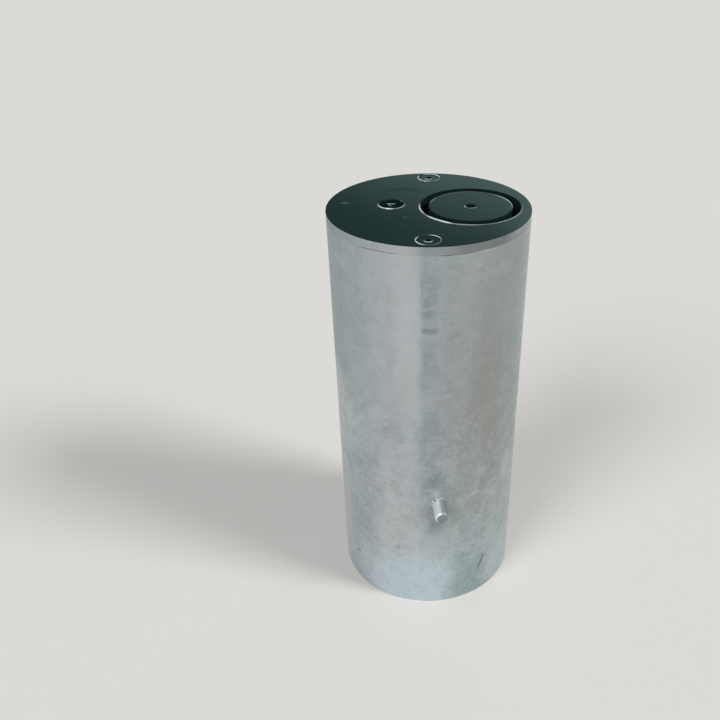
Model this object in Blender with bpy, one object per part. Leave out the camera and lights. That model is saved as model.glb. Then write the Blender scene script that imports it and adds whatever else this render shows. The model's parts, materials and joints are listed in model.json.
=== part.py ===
"""Retractable bollard: a galvanised casing that is set in the ground, a flush cover plate, a post that
slides up through the cover, and a triangular-key lock whose tongue holds the post down or up.

Metres, +Z up. The origin is the centre of the casing's foot. The lock is on the -X side, and the post
on the +X side.
"""

import math

import bmesh
import bpy

# Clearances between neighbours
SEAT_GAP = 0.0003
RUN_GAP = 0.0004
WELD_DISTANCE = 0.000001

# Facets round large, middle and small circles
LARGE_STEPS = 80
MIDDLE_STEPS = 48
SMALL_STEPS = 24

# Casing
CASING_OD = 0.1937
CASING_WALL = 0.005
TOTAL_HEIGHT = 0.430
BASE_PLATE_THICKNESS = 0.006
DRAIN_DIAMETER = 0.030
STUD_DIAMETER = 0.014
STUD_LENGTH = 0.024
STUD_HEIGHT = 0.1453
STUD_AZIMUTH = math.radians(8.1)
STUD_WELD_FLARE = 0.0025
STUD_WELD_LENGTH = 0.004
STUD_END_BREAK = 0.0006

# Cover plate, its gasket and its countersunk screws
COVER_THICKNESS = 0.008
COVER_EDGE_BREAK = 0.0006
GASKET_THICKNESS = 0.0008
GASKET_SET_BACK = 0.0006
SCREW_DIAMETER = 0.010
SCREW_HEAD_DIAMETER = 0.0200
SCREW_HEAD_LAND = 0.0006
SCREW_LENGTH = 0.034
SCREW_SOCKET_FLATS = 0.006
SCREW_SOCKET_DEPTH = 0.0045
SCREW_SET_DOWN = 0.0003
SCREW_TO_WALL = 0.0095
SCREW_HOLE_GAP = 0.0006
LUG_WIDTH = 0.026
LUG_DEPTH = 0.020
LUG_HEIGHT = 0.036

# Post and the tube that guides it
POST_OD = 0.0761
POST_WALL = 0.004
POST_PROUD = 0.0005
POST_GAP = 0.00915
GUIDE_WALL = 0.003
GUIDE_TO_CASING = 0.00205
POST_HOLE_STEP = 0.0003
POST_HOLE_BREAK = 0.0010
CAP_OVERHANG = 0.00145
CAP_THICKNESS = 0.010
CAP_SPIGOT_LENGTH = 0.012
CAP_EDGE_BREAK = 0.0010
LIFTING_HOLE_DIAMETER = 0.0090
LIFTING_HOLE_MOUTH = 0.0108
WIPER_DEPTH = 0.024
WIPER_THICKNESS = 0.006
WIPER_LIP = 0.002
WIPER_RELIEF = 0.003
UPPER_BUSH_LENGTH = 0.030
STOP_RING_THICKNESS = 0.008
STOP_RING_GAP = 0.0022
COLLAR_THICKNESS = 0.008
COLLAR_GAP = 0.0018
LOWER_BUSH_LENGTH = 0.030
BUFFER_THICKNESS = 0.012
BUFFER_BORE = 0.044
KEY_WIDTH = 0.008
KEY_TO_POST = 0.003
KEYWAY_GAP = 0.0006
KEY_FOOT = 0.010
POST_END_LAND = 0.004
POST_SLOT_LAND = 0.0064
COLLAR_LAND = 0.0015
CLIP_THICKNESS = 0.0015
CLIP_GROOVE_DEPTH = 0.0012
CLIP_RIM = 0.003
CLIP_GAP_MARGIN = 0.003

# Lock
LOCK_AXIS_Y = 0.0045
FLANGE_TO_GUIDE = 0.0013
HOUSING_OD = 0.027
FLANGE_THICKNESS = 0.006
FLANGE_EDGE = 0.0006
HOUSING_SCREW_DIAMETER = 0.005
HOUSING_SCREW_HEAD = 0.0085
HOUSING_SCREW_HEAD_HEIGHT = 0.005
HOUSING_SCREW_BITE = 0.005
HOUSING_SCREW_HEAD_GAP = 0.0008
HOUSING_SCREW_HOLE_END = 0.0008
RECESS_DIAMETER = 0.0238
RECESS_BREAK = 0.0009
SPINDLE_DIAMETER = 0.014
SPINDLE_SHOULDER = 0.003
SPINDLE_SHOULDER_RIM = 0.003
SPINDLE_SQUARE = 0.010
TRIANGLE_SIDE = 0.0105
TRIANGLE_SET_DOWN = 0.0002
SPINDLE_CLIP_THICKNESS = 0.0012
SPINDLE_CLIP_GROOVE = 0.0008
SPINDLE_CLIP_RIM = 0.0025
SPINDLE_CLIP_OPENING = 0.006
SEAL_HEIGHT = 0.003
SEAL_GROOVE_DEPTH = 0.0018
SEAL_FROM_TOP = 0.020
TONGUE_WIDTH = 0.018
TONGUE_THICKNESS = 0.005
TONGUE_REACH = 0.003
TONGUE_TIP_GAP = 0.001
SLOT_GAP = 0.002
SQUARE_SHORT = 0.0005
TONGUE_SCREW_DIAMETER = 0.006
TONGUE_SCREW_HEAD_FLATS = 0.010
TONGUE_SCREW_HEAD_HEIGHT = 0.004
TONGUE_SCREW_BITE = 0.012
TONGUE_SCREW_HOLE_END = 0.001
WASHER_OD = 0.018
WASHER_THICKNESS = 0.0016

# How far a cutter runs past the face that it cuts
OVERRUN = 0.002

# Radii and axes that follow from the sizes above
casing_radius = CASING_OD / 2
casing_bore = casing_radius - CASING_WALL
post_radius = POST_OD / 2
cap_radius = post_radius + CAP_OVERHANG
post_bore = post_radius - POST_WALL
guide_bore = post_radius + POST_GAP
guide_radius = guide_bore + GUIDE_WALL
post_x = casing_bore - GUIDE_TO_CASING - guide_radius
housing_radius = HOUSING_OD / 2
housing_screw_circle = housing_radius + HOUSING_SCREW_HEAD / 2 + HOUSING_SCREW_HEAD_GAP
flange_radius = housing_screw_circle + HOUSING_SCREW_HEAD / 2 + FLANGE_EDGE
lock_x = post_x - guide_radius - FLANGE_TO_GUIDE - flange_radius
sump_x = (post_x - guide_radius - casing_bore) / 2
screw_circle = casing_bore - SCREW_TO_WALL
key_inner = post_radius + KEY_TO_POST
key_outer = guide_bore - SEAT_GAP
slot_height = TONGUE_THICKNESS + 2 * SLOT_GAP
tongue_tip = post_x - post_bore + TONGUE_REACH - lock_x
sweep_radius = tongue_tip + TONGUE_TIP_GAP
spindle_radius = SPINDLE_DIAMETER / 2

# Heights of what is fixed to the casing
cover_bottom = TOTAL_HEIGHT - COVER_THICKNESS
gasket_top = cover_bottom - SEAT_GAP
gasket_bottom = gasket_top - GASKET_THICKNESS
casing_top = gasket_bottom - SEAT_GAP
guide_bottom = BASE_PLATE_THICKNESS + SEAT_GAP
guide_top = cover_bottom - SEAT_GAP
wiper_top = TOTAL_HEIGHT - WIPER_DEPTH
wiper_bottom = wiper_top - WIPER_THICKNESS
upper_bush_top = wiper_bottom - SEAT_GAP
upper_bush_bottom = upper_bush_top - UPPER_BUSH_LENGTH
stop_ring_top = upper_bush_bottom - SEAT_GAP
stop_ring_bottom = stop_ring_top - STOP_RING_THICKNESS
buffer_bottom = BASE_PLATE_THICKNESS + SEAT_GAP
buffer_top = buffer_bottom + BUFFER_THICKNESS

# Heights of the lowered post, from its foot up
post_bottom = buffer_top + SEAT_GAP
post_top = TOTAL_HEIGHT + POST_PROUD
cap_bottom = post_top - CAP_THICKNESS
lower_clip_bottom = post_bottom + POST_END_LAND
lower_bush_bottom = lower_clip_bottom + CLIP_THICKNESS + SEAT_GAP
lower_bush_top = lower_bush_bottom + LOWER_BUSH_LENGTH
upper_clip_bottom = lower_bush_top + SEAT_GAP
raised_slot_middle = upper_clip_bottom + CLIP_THICKNESS + POST_SLOT_LAND + slot_height / 2
collar_bottom = raised_slot_middle + slot_height / 2 + COLLAR_LAND
collar_top = collar_bottom + COLLAR_THICKNESS

# The collar meets the stop ring at the end of the lift, and the tongue is level with the raised post's slot
post_travel = stop_ring_bottom - SEAT_GAP - collar_top
tongue_middle = raised_slot_middle + post_travel

# Heights of the lock
tongue_bottom = tongue_middle - TONGUE_THICKNESS / 2
tongue_top = tongue_middle + TONGUE_THICKNESS / 2
shoulder_bottom = tongue_top + SEAT_GAP
shoulder_top = shoulder_bottom + SPINDLE_SHOULDER
housing_bottom = shoulder_top + SEAT_GAP
housing_top = cover_bottom - SEAT_GAP
flange_bottom = housing_top - FLANGE_THICKNESS
spindle_clip_bottom = housing_top + SEAT_GAP
shaft_top = spindle_clip_bottom + SPINDLE_CLIP_THICKNESS + 2 * SEAT_GAP
triangle_top = TOTAL_HEIGHT - TRIANGLE_SET_DOWN
seal_top = housing_top - SEAL_FROM_TOP
washer_top = tongue_bottom - SEAT_GAP
tongue_screw_head_top = washer_top - WASHER_THICKNESS - SEAT_GAP

# Colour, metallic value and roughness of each finish
FINISHES = {
    "galvanised": ((0.50, 0.54, 0.54), 0.85, 0.45),
    "dark_coat": ((0.030, 0.048, 0.046), 0.20, 0.38),
    "machined_steel": ((0.56, 0.57, 0.58), 1.00, 0.32),
    "zinc_plate": ((0.62, 0.62, 0.58), 1.00, 0.35),
    "rubber": ((0.020, 0.021, 0.021), 0.00, 0.75),
    "bearing_plastic": ((0.72, 0.70, 0.62), 0.00, 0.50),
}
SHARP_ANGLE = math.radians(30)


def clear_scene():
    for obj in list(bpy.data.objects):
        bpy.data.objects.remove(obj, do_unlink=True)


def add_frame(name, x, y):
    """An empty on an axis, which carries the pieces that turn or slide about it."""
    frame = bpy.data.objects.new(name, None)
    frame.location = (x, y, 0.0)
    bpy.context.scene.collection.objects.link(frame)
    return frame


def add_object(name, shape, frame):
    mesh = bpy.data.meshes.new(name)
    shape.to_mesh(mesh)
    shape.free()
    mesh.shade_smooth()
    mesh.set_sharp_from_angle(angle=SHARP_ANGLE)
    obj = bpy.data.objects.new(name, mesh)
    obj.parent = frame
    bpy.context.scene.collection.objects.link(obj)
    return obj


def add_piece(name, shape, finish, frame):
    obj = add_object(name, shape, frame)
    colour, metallic, roughness = FINISHES[finish]
    material = bpy.data.materials.new(name + "_" + finish)
    material.use_nodes = True
    shader = material.node_tree.nodes["Principled BSDF"]
    shader.inputs["Base Color"].default_value = (*colour, 1.0)
    shader.inputs["Metallic"].default_value = metallic
    shader.inputs["Roughness"].default_value = roughness
    obj.data.materials.append(material)
    return obj


def add_tool(name, shape, frame):
    """A hidden solid that a Boolean cuts with or joins on."""
    tool = add_object(name, shape, frame)
    tool.hide_render = True
    tool.display_type = "WIRE"
    return tool


def combine(obj, tool, operation="DIFFERENCE"):
    boolean = obj.modifiers.new(operation.lower() + "_" + tool.name, "BOOLEAN")
    boolean.operation = operation
    boolean.solver = "EXACT"
    boolean.object = tool


def turned(profile, steps):
    """A solid of revolution about Z. A profile of (radius, height) points that starts and ends on the axis
    stays open there, and any other is closed into a ring."""
    shape = bmesh.new()
    points = [shape.verts.new((radius, 0.0, height)) for radius, height in profile]
    edges = [shape.edges.new(pair) for pair in zip(points, points[1:])]
    if profile[0][0] > 0.0 or profile[-1][0] > 0.0:
        edges.append(shape.edges.new((points[-1], points[0])))
    bmesh.ops.spin(
        shape,
        geom=points + edges,
        cent=(0, 0, 0),
        axis=(0, 0, 1),
        angle=math.tau,
        steps=steps,
        use_merge=True,
    )
    bmesh.ops.remove_doubles(shape, verts=shape.verts, dist=WELD_DISTANCE)
    bmesh.ops.recalc_face_normals(shape, faces=shape.faces)
    return shape


def ring_profile(outer, inner, bottom, top):
    return [(outer, top), (outer, bottom), (inner, bottom), (inner, top)]


def rod_profile(radius, bottom, top):
    return [(0.0, top), (radius, top), (radius, bottom), (0.0, bottom)]


def flared_hole_profile(radius, edge_break, bottom, top):
    """A cutter for a through hole whose upper edge is chamfered."""
    mouth = radius + edge_break
    return [
        (0.0, top + OVERRUN),
        (mouth, top + OVERRUN),
        (mouth, top),
        (radius, top - edge_break),
        (radius, bottom - OVERRUN),
        (0.0, bottom - OVERRUN),
    ]


def prism(outline, bottom, top):
    shape = bmesh.new()
    face = shape.faces.new([shape.verts.new((x, y, bottom)) for x, y in outline])
    raised = bmesh.ops.extrude_face_region(shape, geom=[face])["geom"]
    corners = [item for item in raised if isinstance(item, bmesh.types.BMVert)]
    bmesh.ops.translate(shape, verts=corners, vec=(0, 0, top - bottom))
    bmesh.ops.recalc_face_normals(shape, faces=shape.faces)
    return shape


def block_outline(low_x, high_x, low_y, high_y):
    return [(low_x, low_y), (high_x, low_y), (high_x, high_y), (low_x, high_y)]


def polygon_outline(sides, corner_radius, first_angle):
    angles = [first_angle + math.tau * step / sides for step in range(sides)]
    return [(corner_radius * math.cos(angle), corner_radius * math.sin(angle)) for angle in angles]


def hexagon_outline(flats):
    return polygon_outline(6, flats / math.sqrt(3), 0.0)


def arc(centre, radius, start, end, steps):
    angles = [start + (end - start) * step / steps for step in range(steps + 1)]
    return [(centre[0] + radius * math.cos(a), centre[1] + radius * math.sin(a)) for a in angles]


def make_casing_tube(frame):
    profile = ring_profile(casing_radius, casing_bore, 0.0, casing_top)
    add_piece("casing_tube", turned(profile, LARGE_STEPS), "galvanised", frame)


def make_base_plate(frame):
    profile = rod_profile(casing_bore - SEAT_GAP, 0.0, BASE_PLATE_THICKNESS)
    plate = add_piece("base_plate", turned(profile, LARGE_STEPS), "galvanised", frame)
    for name, x in (("post_drain", post_x), ("sump_drain", sump_x)):
        drain = rod_profile(DRAIN_DIAMETER / 2, -OVERRUN, BASE_PLATE_THICKNESS + OVERRUN)
        tool = add_tool("cutter_" + name, turned(drain, SMALL_STEPS), frame)
        tool.location.x = x
        combine(plate, tool)


def make_anchor_studs(frame):
    """Studs that are welded to the casing's outside, to key it into concrete."""
    radius = STUD_DIAMETER / 2
    profile = [
        (0.0, STUD_LENGTH),
        (radius - STUD_END_BREAK, STUD_LENGTH),
        (radius, STUD_LENGTH - STUD_END_BREAK),
        (radius, STUD_WELD_LENGTH),
        (radius + STUD_WELD_FLARE, 0.0),
        (0.0, 0.0),
    ]
    for name, turn in (("front", 0.0), ("rear", math.pi)):
        stud = add_piece("anchor_stud_" + name, turned(profile, SMALL_STEPS), "galvanised", frame)
        azimuth = STUD_AZIMUTH + turn
        reach = casing_radius + SEAT_GAP
        stud.rotation_euler = (math.pi / 2, 0.0, azimuth)
        stud.location = (reach * math.sin(azimuth), -reach * math.cos(azimuth), STUD_HEIGHT)


def make_fixing_lugs(frame):
    """Tapped blocks on the casing's inner wall, which take the cover screws."""
    wall = casing_bore - SEAT_GAP
    half_angle = math.asin(LUG_WIDTH / 2 / wall)
    inner_y = casing_bore - LUG_DEPTH
    outline = arc((0.0, 0.0), wall, math.pi / 2 - half_angle, math.pi / 2 + half_angle, LARGE_STEPS // 10)
    outline += [(-LUG_WIDTH / 2, inner_y), (LUG_WIDTH / 2, inner_y)]
    bottom = casing_top - LUG_HEIGHT
    hole = rod_profile(SCREW_DIAMETER / 2 + SEAT_GAP, bottom - OVERRUN, casing_top + OVERRUN)
    for name, turn in (("front", math.pi), ("rear", 0.0)):
        lug = add_piece("fixing_lug_" + name, prism(outline, bottom, casing_top), "galvanised", frame)
        lug.rotation_euler.z = turn
        tool = add_tool("cutter_lug_" + name, turned(hole, SMALL_STEPS), frame)
        tool.location.y = screw_circle * math.cos(turn)
        combine(lug, tool)


def make_cover_gasket(frame):
    outer = casing_radius - GASKET_SET_BACK
    profile = ring_profile(outer, casing_bore + SEAT_GAP, gasket_bottom, gasket_top)
    add_piece("cover_gasket", turned(profile, LARGE_STEPS), "rubber", frame)


def countersink_profile():
    """The cover screw's hole, which follows the screw's head at a clearance."""
    mouth = SCREW_HEAD_DIAMETER / 2 + SCREW_HOLE_GAP
    hole = SCREW_DIAMETER / 2 + SCREW_HOLE_GAP
    cone_top = TOTAL_HEIGHT - SCREW_SET_DOWN - SCREW_HEAD_LAND
    return [
        (0.0, TOTAL_HEIGHT + OVERRUN),
        (mouth, TOTAL_HEIGHT + OVERRUN),
        (mouth, cone_top),
        (hole, cone_top - (mouth - hole)),
        (hole, cover_bottom - OVERRUN),
        (0.0, cover_bottom - OVERRUN),
    ]


def make_cover_plate(frame):
    edge = casing_radius - COVER_EDGE_BREAK
    profile = [
        (0.0, TOTAL_HEIGHT),
        (edge, TOTAL_HEIGHT),
        (casing_radius, TOTAL_HEIGHT - COVER_EDGE_BREAK),
        (casing_radius, cover_bottom),
        (0.0, cover_bottom),
    ]
    cover = add_piece("cover_plate", turned(profile, LARGE_STEPS), "dark_coat", frame)
    post_hole_radius = guide_bore + POST_HOLE_STEP
    post_hole = flared_hole_profile(post_hole_radius, POST_HOLE_BREAK, cover_bottom, TOTAL_HEIGHT)
    recess = flared_hole_profile(RECESS_DIAMETER / 2, RECESS_BREAK, cover_bottom, TOTAL_HEIGHT)
    bite_top = cover_bottom + HOUSING_SCREW_BITE + HOUSING_SCREW_HOLE_END
    blind = rod_profile(HOUSING_SCREW_DIAMETER / 2 + SEAT_GAP, cover_bottom - OVERRUN, bite_top)
    holes = (
        ("post_hole", post_hole, MIDDLE_STEPS, post_x, 0.0),
        ("lock_recess", recess, SMALL_STEPS, lock_x, LOCK_AXIS_Y),
        ("countersink_front", countersink_profile(), SMALL_STEPS, 0.0, -screw_circle),
        ("countersink_rear", countersink_profile(), SMALL_STEPS, 0.0, screw_circle),
        ("blind_front", blind, SMALL_STEPS, lock_x, LOCK_AXIS_Y - housing_screw_circle),
        ("blind_rear", blind, SMALL_STEPS, lock_x, LOCK_AXIS_Y + housing_screw_circle),
    )
    for name, hole, steps, x, y in holes:
        tool = add_tool("cutter_" + name, turned(hole, steps), frame)
        tool.location = (x, y, 0.0)
        combine(cover, tool)


def make_cover_screws(frame):
    head = SCREW_HEAD_DIAMETER / 2
    shank = SCREW_DIAMETER / 2
    top = TOTAL_HEIGHT - SCREW_SET_DOWN
    cone_top = top - SCREW_HEAD_LAND
    profile = [
        (0.0, top),
        (head, top),
        (head, cone_top),
        (shank, cone_top - (head - shank)),
        (shank, top - SCREW_LENGTH),
        (0.0, top - SCREW_LENGTH),
    ]
    socket = hexagon_outline(SCREW_SOCKET_FLATS)
    for name, y in (("front", -screw_circle), ("rear", screw_circle)):
        screw = add_piece("cover_screw_" + name, turned(profile, SMALL_STEPS), "dark_coat", frame)
        screw.location.y = y
        recess = prism(socket, top - SCREW_SOCKET_DEPTH, top + OVERRUN)
        tool = add_tool("cutter_socket_" + name, recess, frame)
        tool.location.y = y
        combine(screw, tool)


def add_sweep_cutter(name, height, frame):
    """A disc on the lock's axis, a little larger than the tongue's swing."""
    disc = rod_profile(sweep_radius, height - slot_height / 2, height + slot_height / 2)
    return add_tool(name, turned(disc, MIDDLE_STEPS), frame)


def make_guide_tube(frame, lock_frame):
    profile = ring_profile(guide_radius, guide_bore, guide_bottom, guide_top)
    guide = add_piece("guide_tube", turned(profile, MIDDLE_STEPS), "galvanised", frame)
    combine(guide, add_sweep_cutter("cutter_guide_window", tongue_middle, lock_frame))


def make_post_bearings(frame):
    """The wiper in the guide tube's mouth, the bush under it and the ring that stops the lift."""
    outer = guide_bore - SEAT_GAP
    inner = post_radius + RUN_GAP
    wiper = [
        (outer, wiper_top),
        (outer, wiper_bottom),
        (inner + WIPER_RELIEF, wiper_bottom),
        (inner + WIPER_RELIEF, wiper_top - WIPER_LIP),
        (inner, wiper_top - WIPER_LIP),
        (inner, wiper_top),
    ]
    add_piece("wiper_seal", turned(wiper, MIDDLE_STEPS), "rubber", frame)
    bush = ring_profile(outer, inner, upper_bush_bottom, upper_bush_top)
    add_piece("upper_bush", turned(bush, MIDDLE_STEPS), "bearing_plastic", frame)
    stop = ring_profile(outer, post_radius + STOP_RING_GAP, stop_ring_bottom, stop_ring_top)
    add_piece("stop_ring", turned(stop, MIDDLE_STEPS), "machined_steel", frame)


def make_rest_buffer(frame):
    profile = ring_profile(post_radius, BUFFER_BORE / 2, buffer_bottom, buffer_top)
    add_piece("rest_buffer", turned(profile, MIDDLE_STEPS), "rubber", frame)


def make_guide_key(frame):
    """A strip along the guide tube's wall, which keeps the post from turning."""
    half = KEY_WIDTH / 2
    face = math.sqrt(key_outer**2 - half**2)
    outline = block_outline(key_inner, face, -half, half)
    shape = prism(outline, guide_bottom + KEY_FOOT, stop_ring_bottom - SEAT_GAP)
    add_piece("guide_key", shape, "machined_steel", frame)


def add_keyway_cutter(name, half_width, depth_radius, bottom, top, frame):
    outline = block_outline(depth_radius, guide_bore + OVERRUN, -half_width, half_width)
    return add_tool(name, prism(outline, bottom - OVERRUN, top + OVERRUN), frame)


def make_post_tube(frame, lock_frame):
    groove = post_radius - CLIP_GROOVE_DEPTH
    top = cap_bottom - SEAT_GAP
    profile = [(post_bore, post_bottom), (post_bore, top), (post_radius, top)]
    for clip_bottom in (upper_clip_bottom, lower_clip_bottom):
        high = clip_bottom + CLIP_THICKNESS + SEAT_GAP
        low = clip_bottom - SEAT_GAP
        profile += [(post_radius, high), (groove, high), (groove, low), (post_radius, low)]
    profile.append((post_radius, post_bottom))
    post = add_piece("post_tube", turned(profile, MIDDLE_STEPS), "galvanised", frame)
    combine(post, add_sweep_cutter("cutter_slot_lowered", tongue_middle, lock_frame))
    combine(post, add_sweep_cutter("cutter_slot_raised", raised_slot_middle, lock_frame))


def make_post_cap(frame):
    spigot = post_bore - SEAT_GAP
    hole = LIFTING_HOLE_DIAMETER / 2
    mouth = LIFTING_HOLE_MOUTH / 2
    spigot_bottom = cap_bottom - CAP_SPIGOT_LENGTH
    profile = [
        (mouth, post_top),
        (cap_radius - CAP_EDGE_BREAK, post_top),
        (cap_radius, post_top - CAP_EDGE_BREAK),
        (cap_radius, cap_bottom),
        (spigot, cap_bottom),
        (spigot, spigot_bottom),
        (hole, spigot_bottom),
        (hole, post_top - (mouth - hole)),
    ]
    add_piece("post_cap", turned(profile, MIDDLE_STEPS), "dark_coat", frame)


def make_post_rings(frame):
    """The collar that meets the stop ring, and the lower bush between its clips. All clear the key."""
    inner = post_radius + SEAT_GAP
    keyway = (KEY_WIDTH / 2 + KEYWAY_GAP, key_inner - KEYWAY_GAP)
    rings = (
        ("stop_collar", guide_bore - COLLAR_GAP, collar_bottom, collar_top, "machined_steel"),
        ("lower_bush", guide_bore - RUN_GAP, lower_bush_bottom, lower_bush_top, "bearing_plastic"),
    )
    for name, outer, bottom, top, finish in rings:
        profile = ring_profile(outer, inner, bottom, top)
        piece = add_piece(name, turned(profile, MIDDLE_STEPS), finish, frame)
        combine(piece, add_keyway_cutter("cutter_keyway_" + name, *keyway, bottom, top, frame))
    clip_inner = post_radius - CLIP_GROOVE_DEPTH + SEAT_GAP
    opening = KEY_WIDTH / 2 + CLIP_GAP_MARGIN
    for name, bottom in (("upper", upper_clip_bottom), ("lower", lower_clip_bottom)):
        top = bottom + CLIP_THICKNESS
        profile = ring_profile(post_radius + CLIP_RIM, clip_inner, bottom, top)
        clip = add_piece("bush_clip_" + name, turned(profile, MIDDLE_STEPS), "machined_steel", frame)
        combine(clip, add_keyway_cutter("cutter_clip_" + name, opening, 0.0, bottom, top, frame))


def make_lock_housing(frame):
    bore = spindle_radius + RUN_GAP
    profile = [
        (flange_radius, housing_top),
        (flange_radius, flange_bottom),
        (housing_radius, flange_bottom),
        (housing_radius, housing_bottom),
        (bore, housing_bottom),
        (bore, housing_top),
    ]
    housing = add_piece("lock_housing", turned(profile, SMALL_STEPS), "zinc_plate", frame)
    hole_radius = HOUSING_SCREW_DIAMETER / 2 + SEAT_GAP
    hole = rod_profile(hole_radius, flange_bottom - OVERRUN, housing_top + OVERRUN)
    for name, y in (("front", -housing_screw_circle), ("rear", housing_screw_circle)):
        tool = add_tool("cutter_flange_" + name, turned(hole, SMALL_STEPS), frame)
        tool.location.y = y
        combine(housing, tool)


def make_housing_screws(frame):
    shank = HOUSING_SCREW_DIAMETER / 2
    head = HOUSING_SCREW_HEAD / 2
    head_top = flange_bottom - SEAT_GAP
    head_bottom = head_top - HOUSING_SCREW_HEAD_HEIGHT
    tip = cover_bottom + HOUSING_SCREW_BITE
    profile = [(0.0, tip), (shank, tip), (shank, head_top)]
    profile += [(head, head_top), (head, head_bottom), (0.0, head_bottom)]
    for name, y in (("front", -housing_screw_circle), ("rear", housing_screw_circle)):
        screw = add_piece("housing_screw_" + name, turned(profile, SMALL_STEPS), "machined_steel", frame)
        screw.location.y = y


def make_lock_spindle(frame):
    """The turned spindle, with a triangle for the key on top and a square for the tongue below."""
    shoulder = spindle_radius + SPINDLE_SHOULDER_RIM
    clip_groove = spindle_radius - SPINDLE_CLIP_GROOVE
    seal_groove = spindle_radius - SEAL_GROOVE_DEPTH
    profile = [(0.0, shaft_top), (spindle_radius, shaft_top)]
    clip_top = spindle_clip_bottom + SPINDLE_CLIP_THICKNESS
    grooves = (
        (clip_groove, clip_top + SEAT_GAP, spindle_clip_bottom - SEAT_GAP),
        (seal_groove, seal_top + SEAT_GAP, seal_top - SEAL_HEIGHT - SEAT_GAP),
    )
    for radius, high, low in grooves:
        profile += [(spindle_radius, high), (radius, high), (radius, low), (spindle_radius, low)]
    profile += [(spindle_radius, shoulder_top), (shoulder, shoulder_top)]
    profile += [(shoulder, shoulder_bottom), (0.0, shoulder_bottom)]
    spindle = add_piece("lock_spindle", turned(profile, SMALL_STEPS), "machined_steel", frame)
    triangle = polygon_outline(3, TRIANGLE_SIDE / math.sqrt(3), -math.pi / 2)
    head = prism(triangle, spindle_clip_bottom, triangle_top)
    combine(spindle, add_tool("joined_triangle", head, frame), "UNION")
    square = polygon_outline(4, SPINDLE_SQUARE / math.sqrt(2), math.pi / 4)
    tail = prism(square, tongue_bottom + SQUARE_SHORT, shoulder_bottom + SPINDLE_SHOULDER / 2)
    combine(spindle, add_tool("joined_square", tail, frame), "UNION")
    hole_top = tongue_screw_head_top + WASHER_THICKNESS + TONGUE_THICKNESS + TONGUE_SCREW_BITE
    hole = rod_profile(
        TONGUE_SCREW_DIAMETER / 2 + SEAT_GAP, tongue_bottom - OVERRUN, hole_top + TONGUE_SCREW_HOLE_END
    )
    combine(spindle, add_tool("cutter_spindle_thread", turned(hole, SMALL_STEPS), frame))


def make_spindle_rings(frame):
    """The seal in its groove inside the housing, and the clip that hangs the spindle on its top."""
    groove = spindle_radius - SEAL_GROOVE_DEPTH + SEAT_GAP
    outer = spindle_radius + RUN_GAP - SEAT_GAP
    seal = ring_profile(outer, groove, seal_top - SEAL_HEIGHT, seal_top)
    add_piece("spindle_seal", turned(seal, SMALL_STEPS), "rubber", frame)
    inner = spindle_radius - SPINDLE_CLIP_GROOVE + SEAT_GAP
    top = spindle_clip_bottom + SPINDLE_CLIP_THICKNESS
    profile = ring_profile(spindle_radius + SPINDLE_CLIP_RIM, inner, spindle_clip_bottom, top)
    clip = add_piece("spindle_clip", turned(profile, SMALL_STEPS), "machined_steel", frame)
    half = SPINDLE_CLIP_OPENING / 2
    opening = block_outline(-half, half, 0.0, spindle_radius + SPINDLE_CLIP_RIM + OVERRUN)
    cutter = prism(opening, spindle_clip_bottom - OVERRUN, top + OVERRUN)
    combine(clip, add_tool("cutter_spindle_clip", cutter, frame))


def make_lock_tongue(frame):
    """A round-ended bar on the spindle's square. At rest it points to -Y, clear of the post."""
    half = TONGUE_WIDTH / 2
    tip_y = half - tongue_tip
    outline = arc((0.0, 0.0), half, 0.0, math.pi, SMALL_STEPS // 2)
    outline += arc((0.0, tip_y), half, math.pi, math.tau, SMALL_STEPS // 2)
    tongue = add_piece("lock_tongue", prism(outline, tongue_bottom, tongue_top), "machined_steel", frame)
    square = polygon_outline(4, SPINDLE_SQUARE / math.sqrt(2) + 2 * SEAT_GAP, math.pi / 4)
    tool = prism(square, tongue_bottom - OVERRUN, tongue_top + OVERRUN)
    combine(tongue, add_tool("cutter_tongue_square", tool, frame))


def make_tongue_screw(frame):
    shank = TONGUE_SCREW_DIAMETER / 2
    bottom = washer_top - WASHER_THICKNESS
    washer = ring_profile(WASHER_OD / 2, shank + SEAT_GAP, bottom, washer_top)
    add_piece("tongue_washer", turned(washer, SMALL_STEPS), "zinc_plate", frame)
    head_bottom = tongue_screw_head_top - TONGUE_SCREW_HEAD_HEIGHT
    head = prism(hexagon_outline(TONGUE_SCREW_HEAD_FLATS), head_bottom, tongue_screw_head_top)
    screw = add_piece("tongue_screw", head, "zinc_plate", frame)
    tip = tongue_screw_head_top + WASHER_THICKNESS + TONGUE_THICKNESS + TONGUE_SCREW_BITE
    thread = rod_profile(shank, head_bottom + TONGUE_SCREW_HEAD_HEIGHT / 2, tip)
    combine(screw, add_tool("joined_thread", turned(thread, SMALL_STEPS), frame), "UNION")


def main():
    clear_scene()
    casing_frame = add_frame("casing_frame", 0.0, 0.0)
    post_frame = add_frame("post_frame", post_x, 0.0)
    lock_frame = add_frame("lock_frame", lock_x, LOCK_AXIS_Y)
    make_casing_tube(casing_frame)
    make_base_plate(casing_frame)
    make_anchor_studs(casing_frame)
    make_fixing_lugs(casing_frame)
    make_cover_gasket(casing_frame)
    make_cover_plate(casing_frame)
    make_cover_screws(casing_frame)
    make_guide_tube(post_frame, lock_frame)
    make_post_bearings(post_frame)
    make_rest_buffer(post_frame)
    make_guide_key(post_frame)
    make_post_tube(post_frame, lock_frame)
    make_post_cap(post_frame)
    make_post_rings(post_frame)
    make_lock_housing(lock_frame)
    make_housing_screws(lock_frame)
    make_lock_spindle(lock_frame)
    make_spindle_rings(lock_frame)
    make_lock_tongue(lock_frame)
    make_tongue_screw(lock_frame)
    print(f"post axis x {post_x:.5f}, lock axis x {lock_x:.5f}")
    print(f"travel {post_travel:.5f}, tongue height {tongue_middle:.5f}")


if __name__ == "__main__":
    main()
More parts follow.
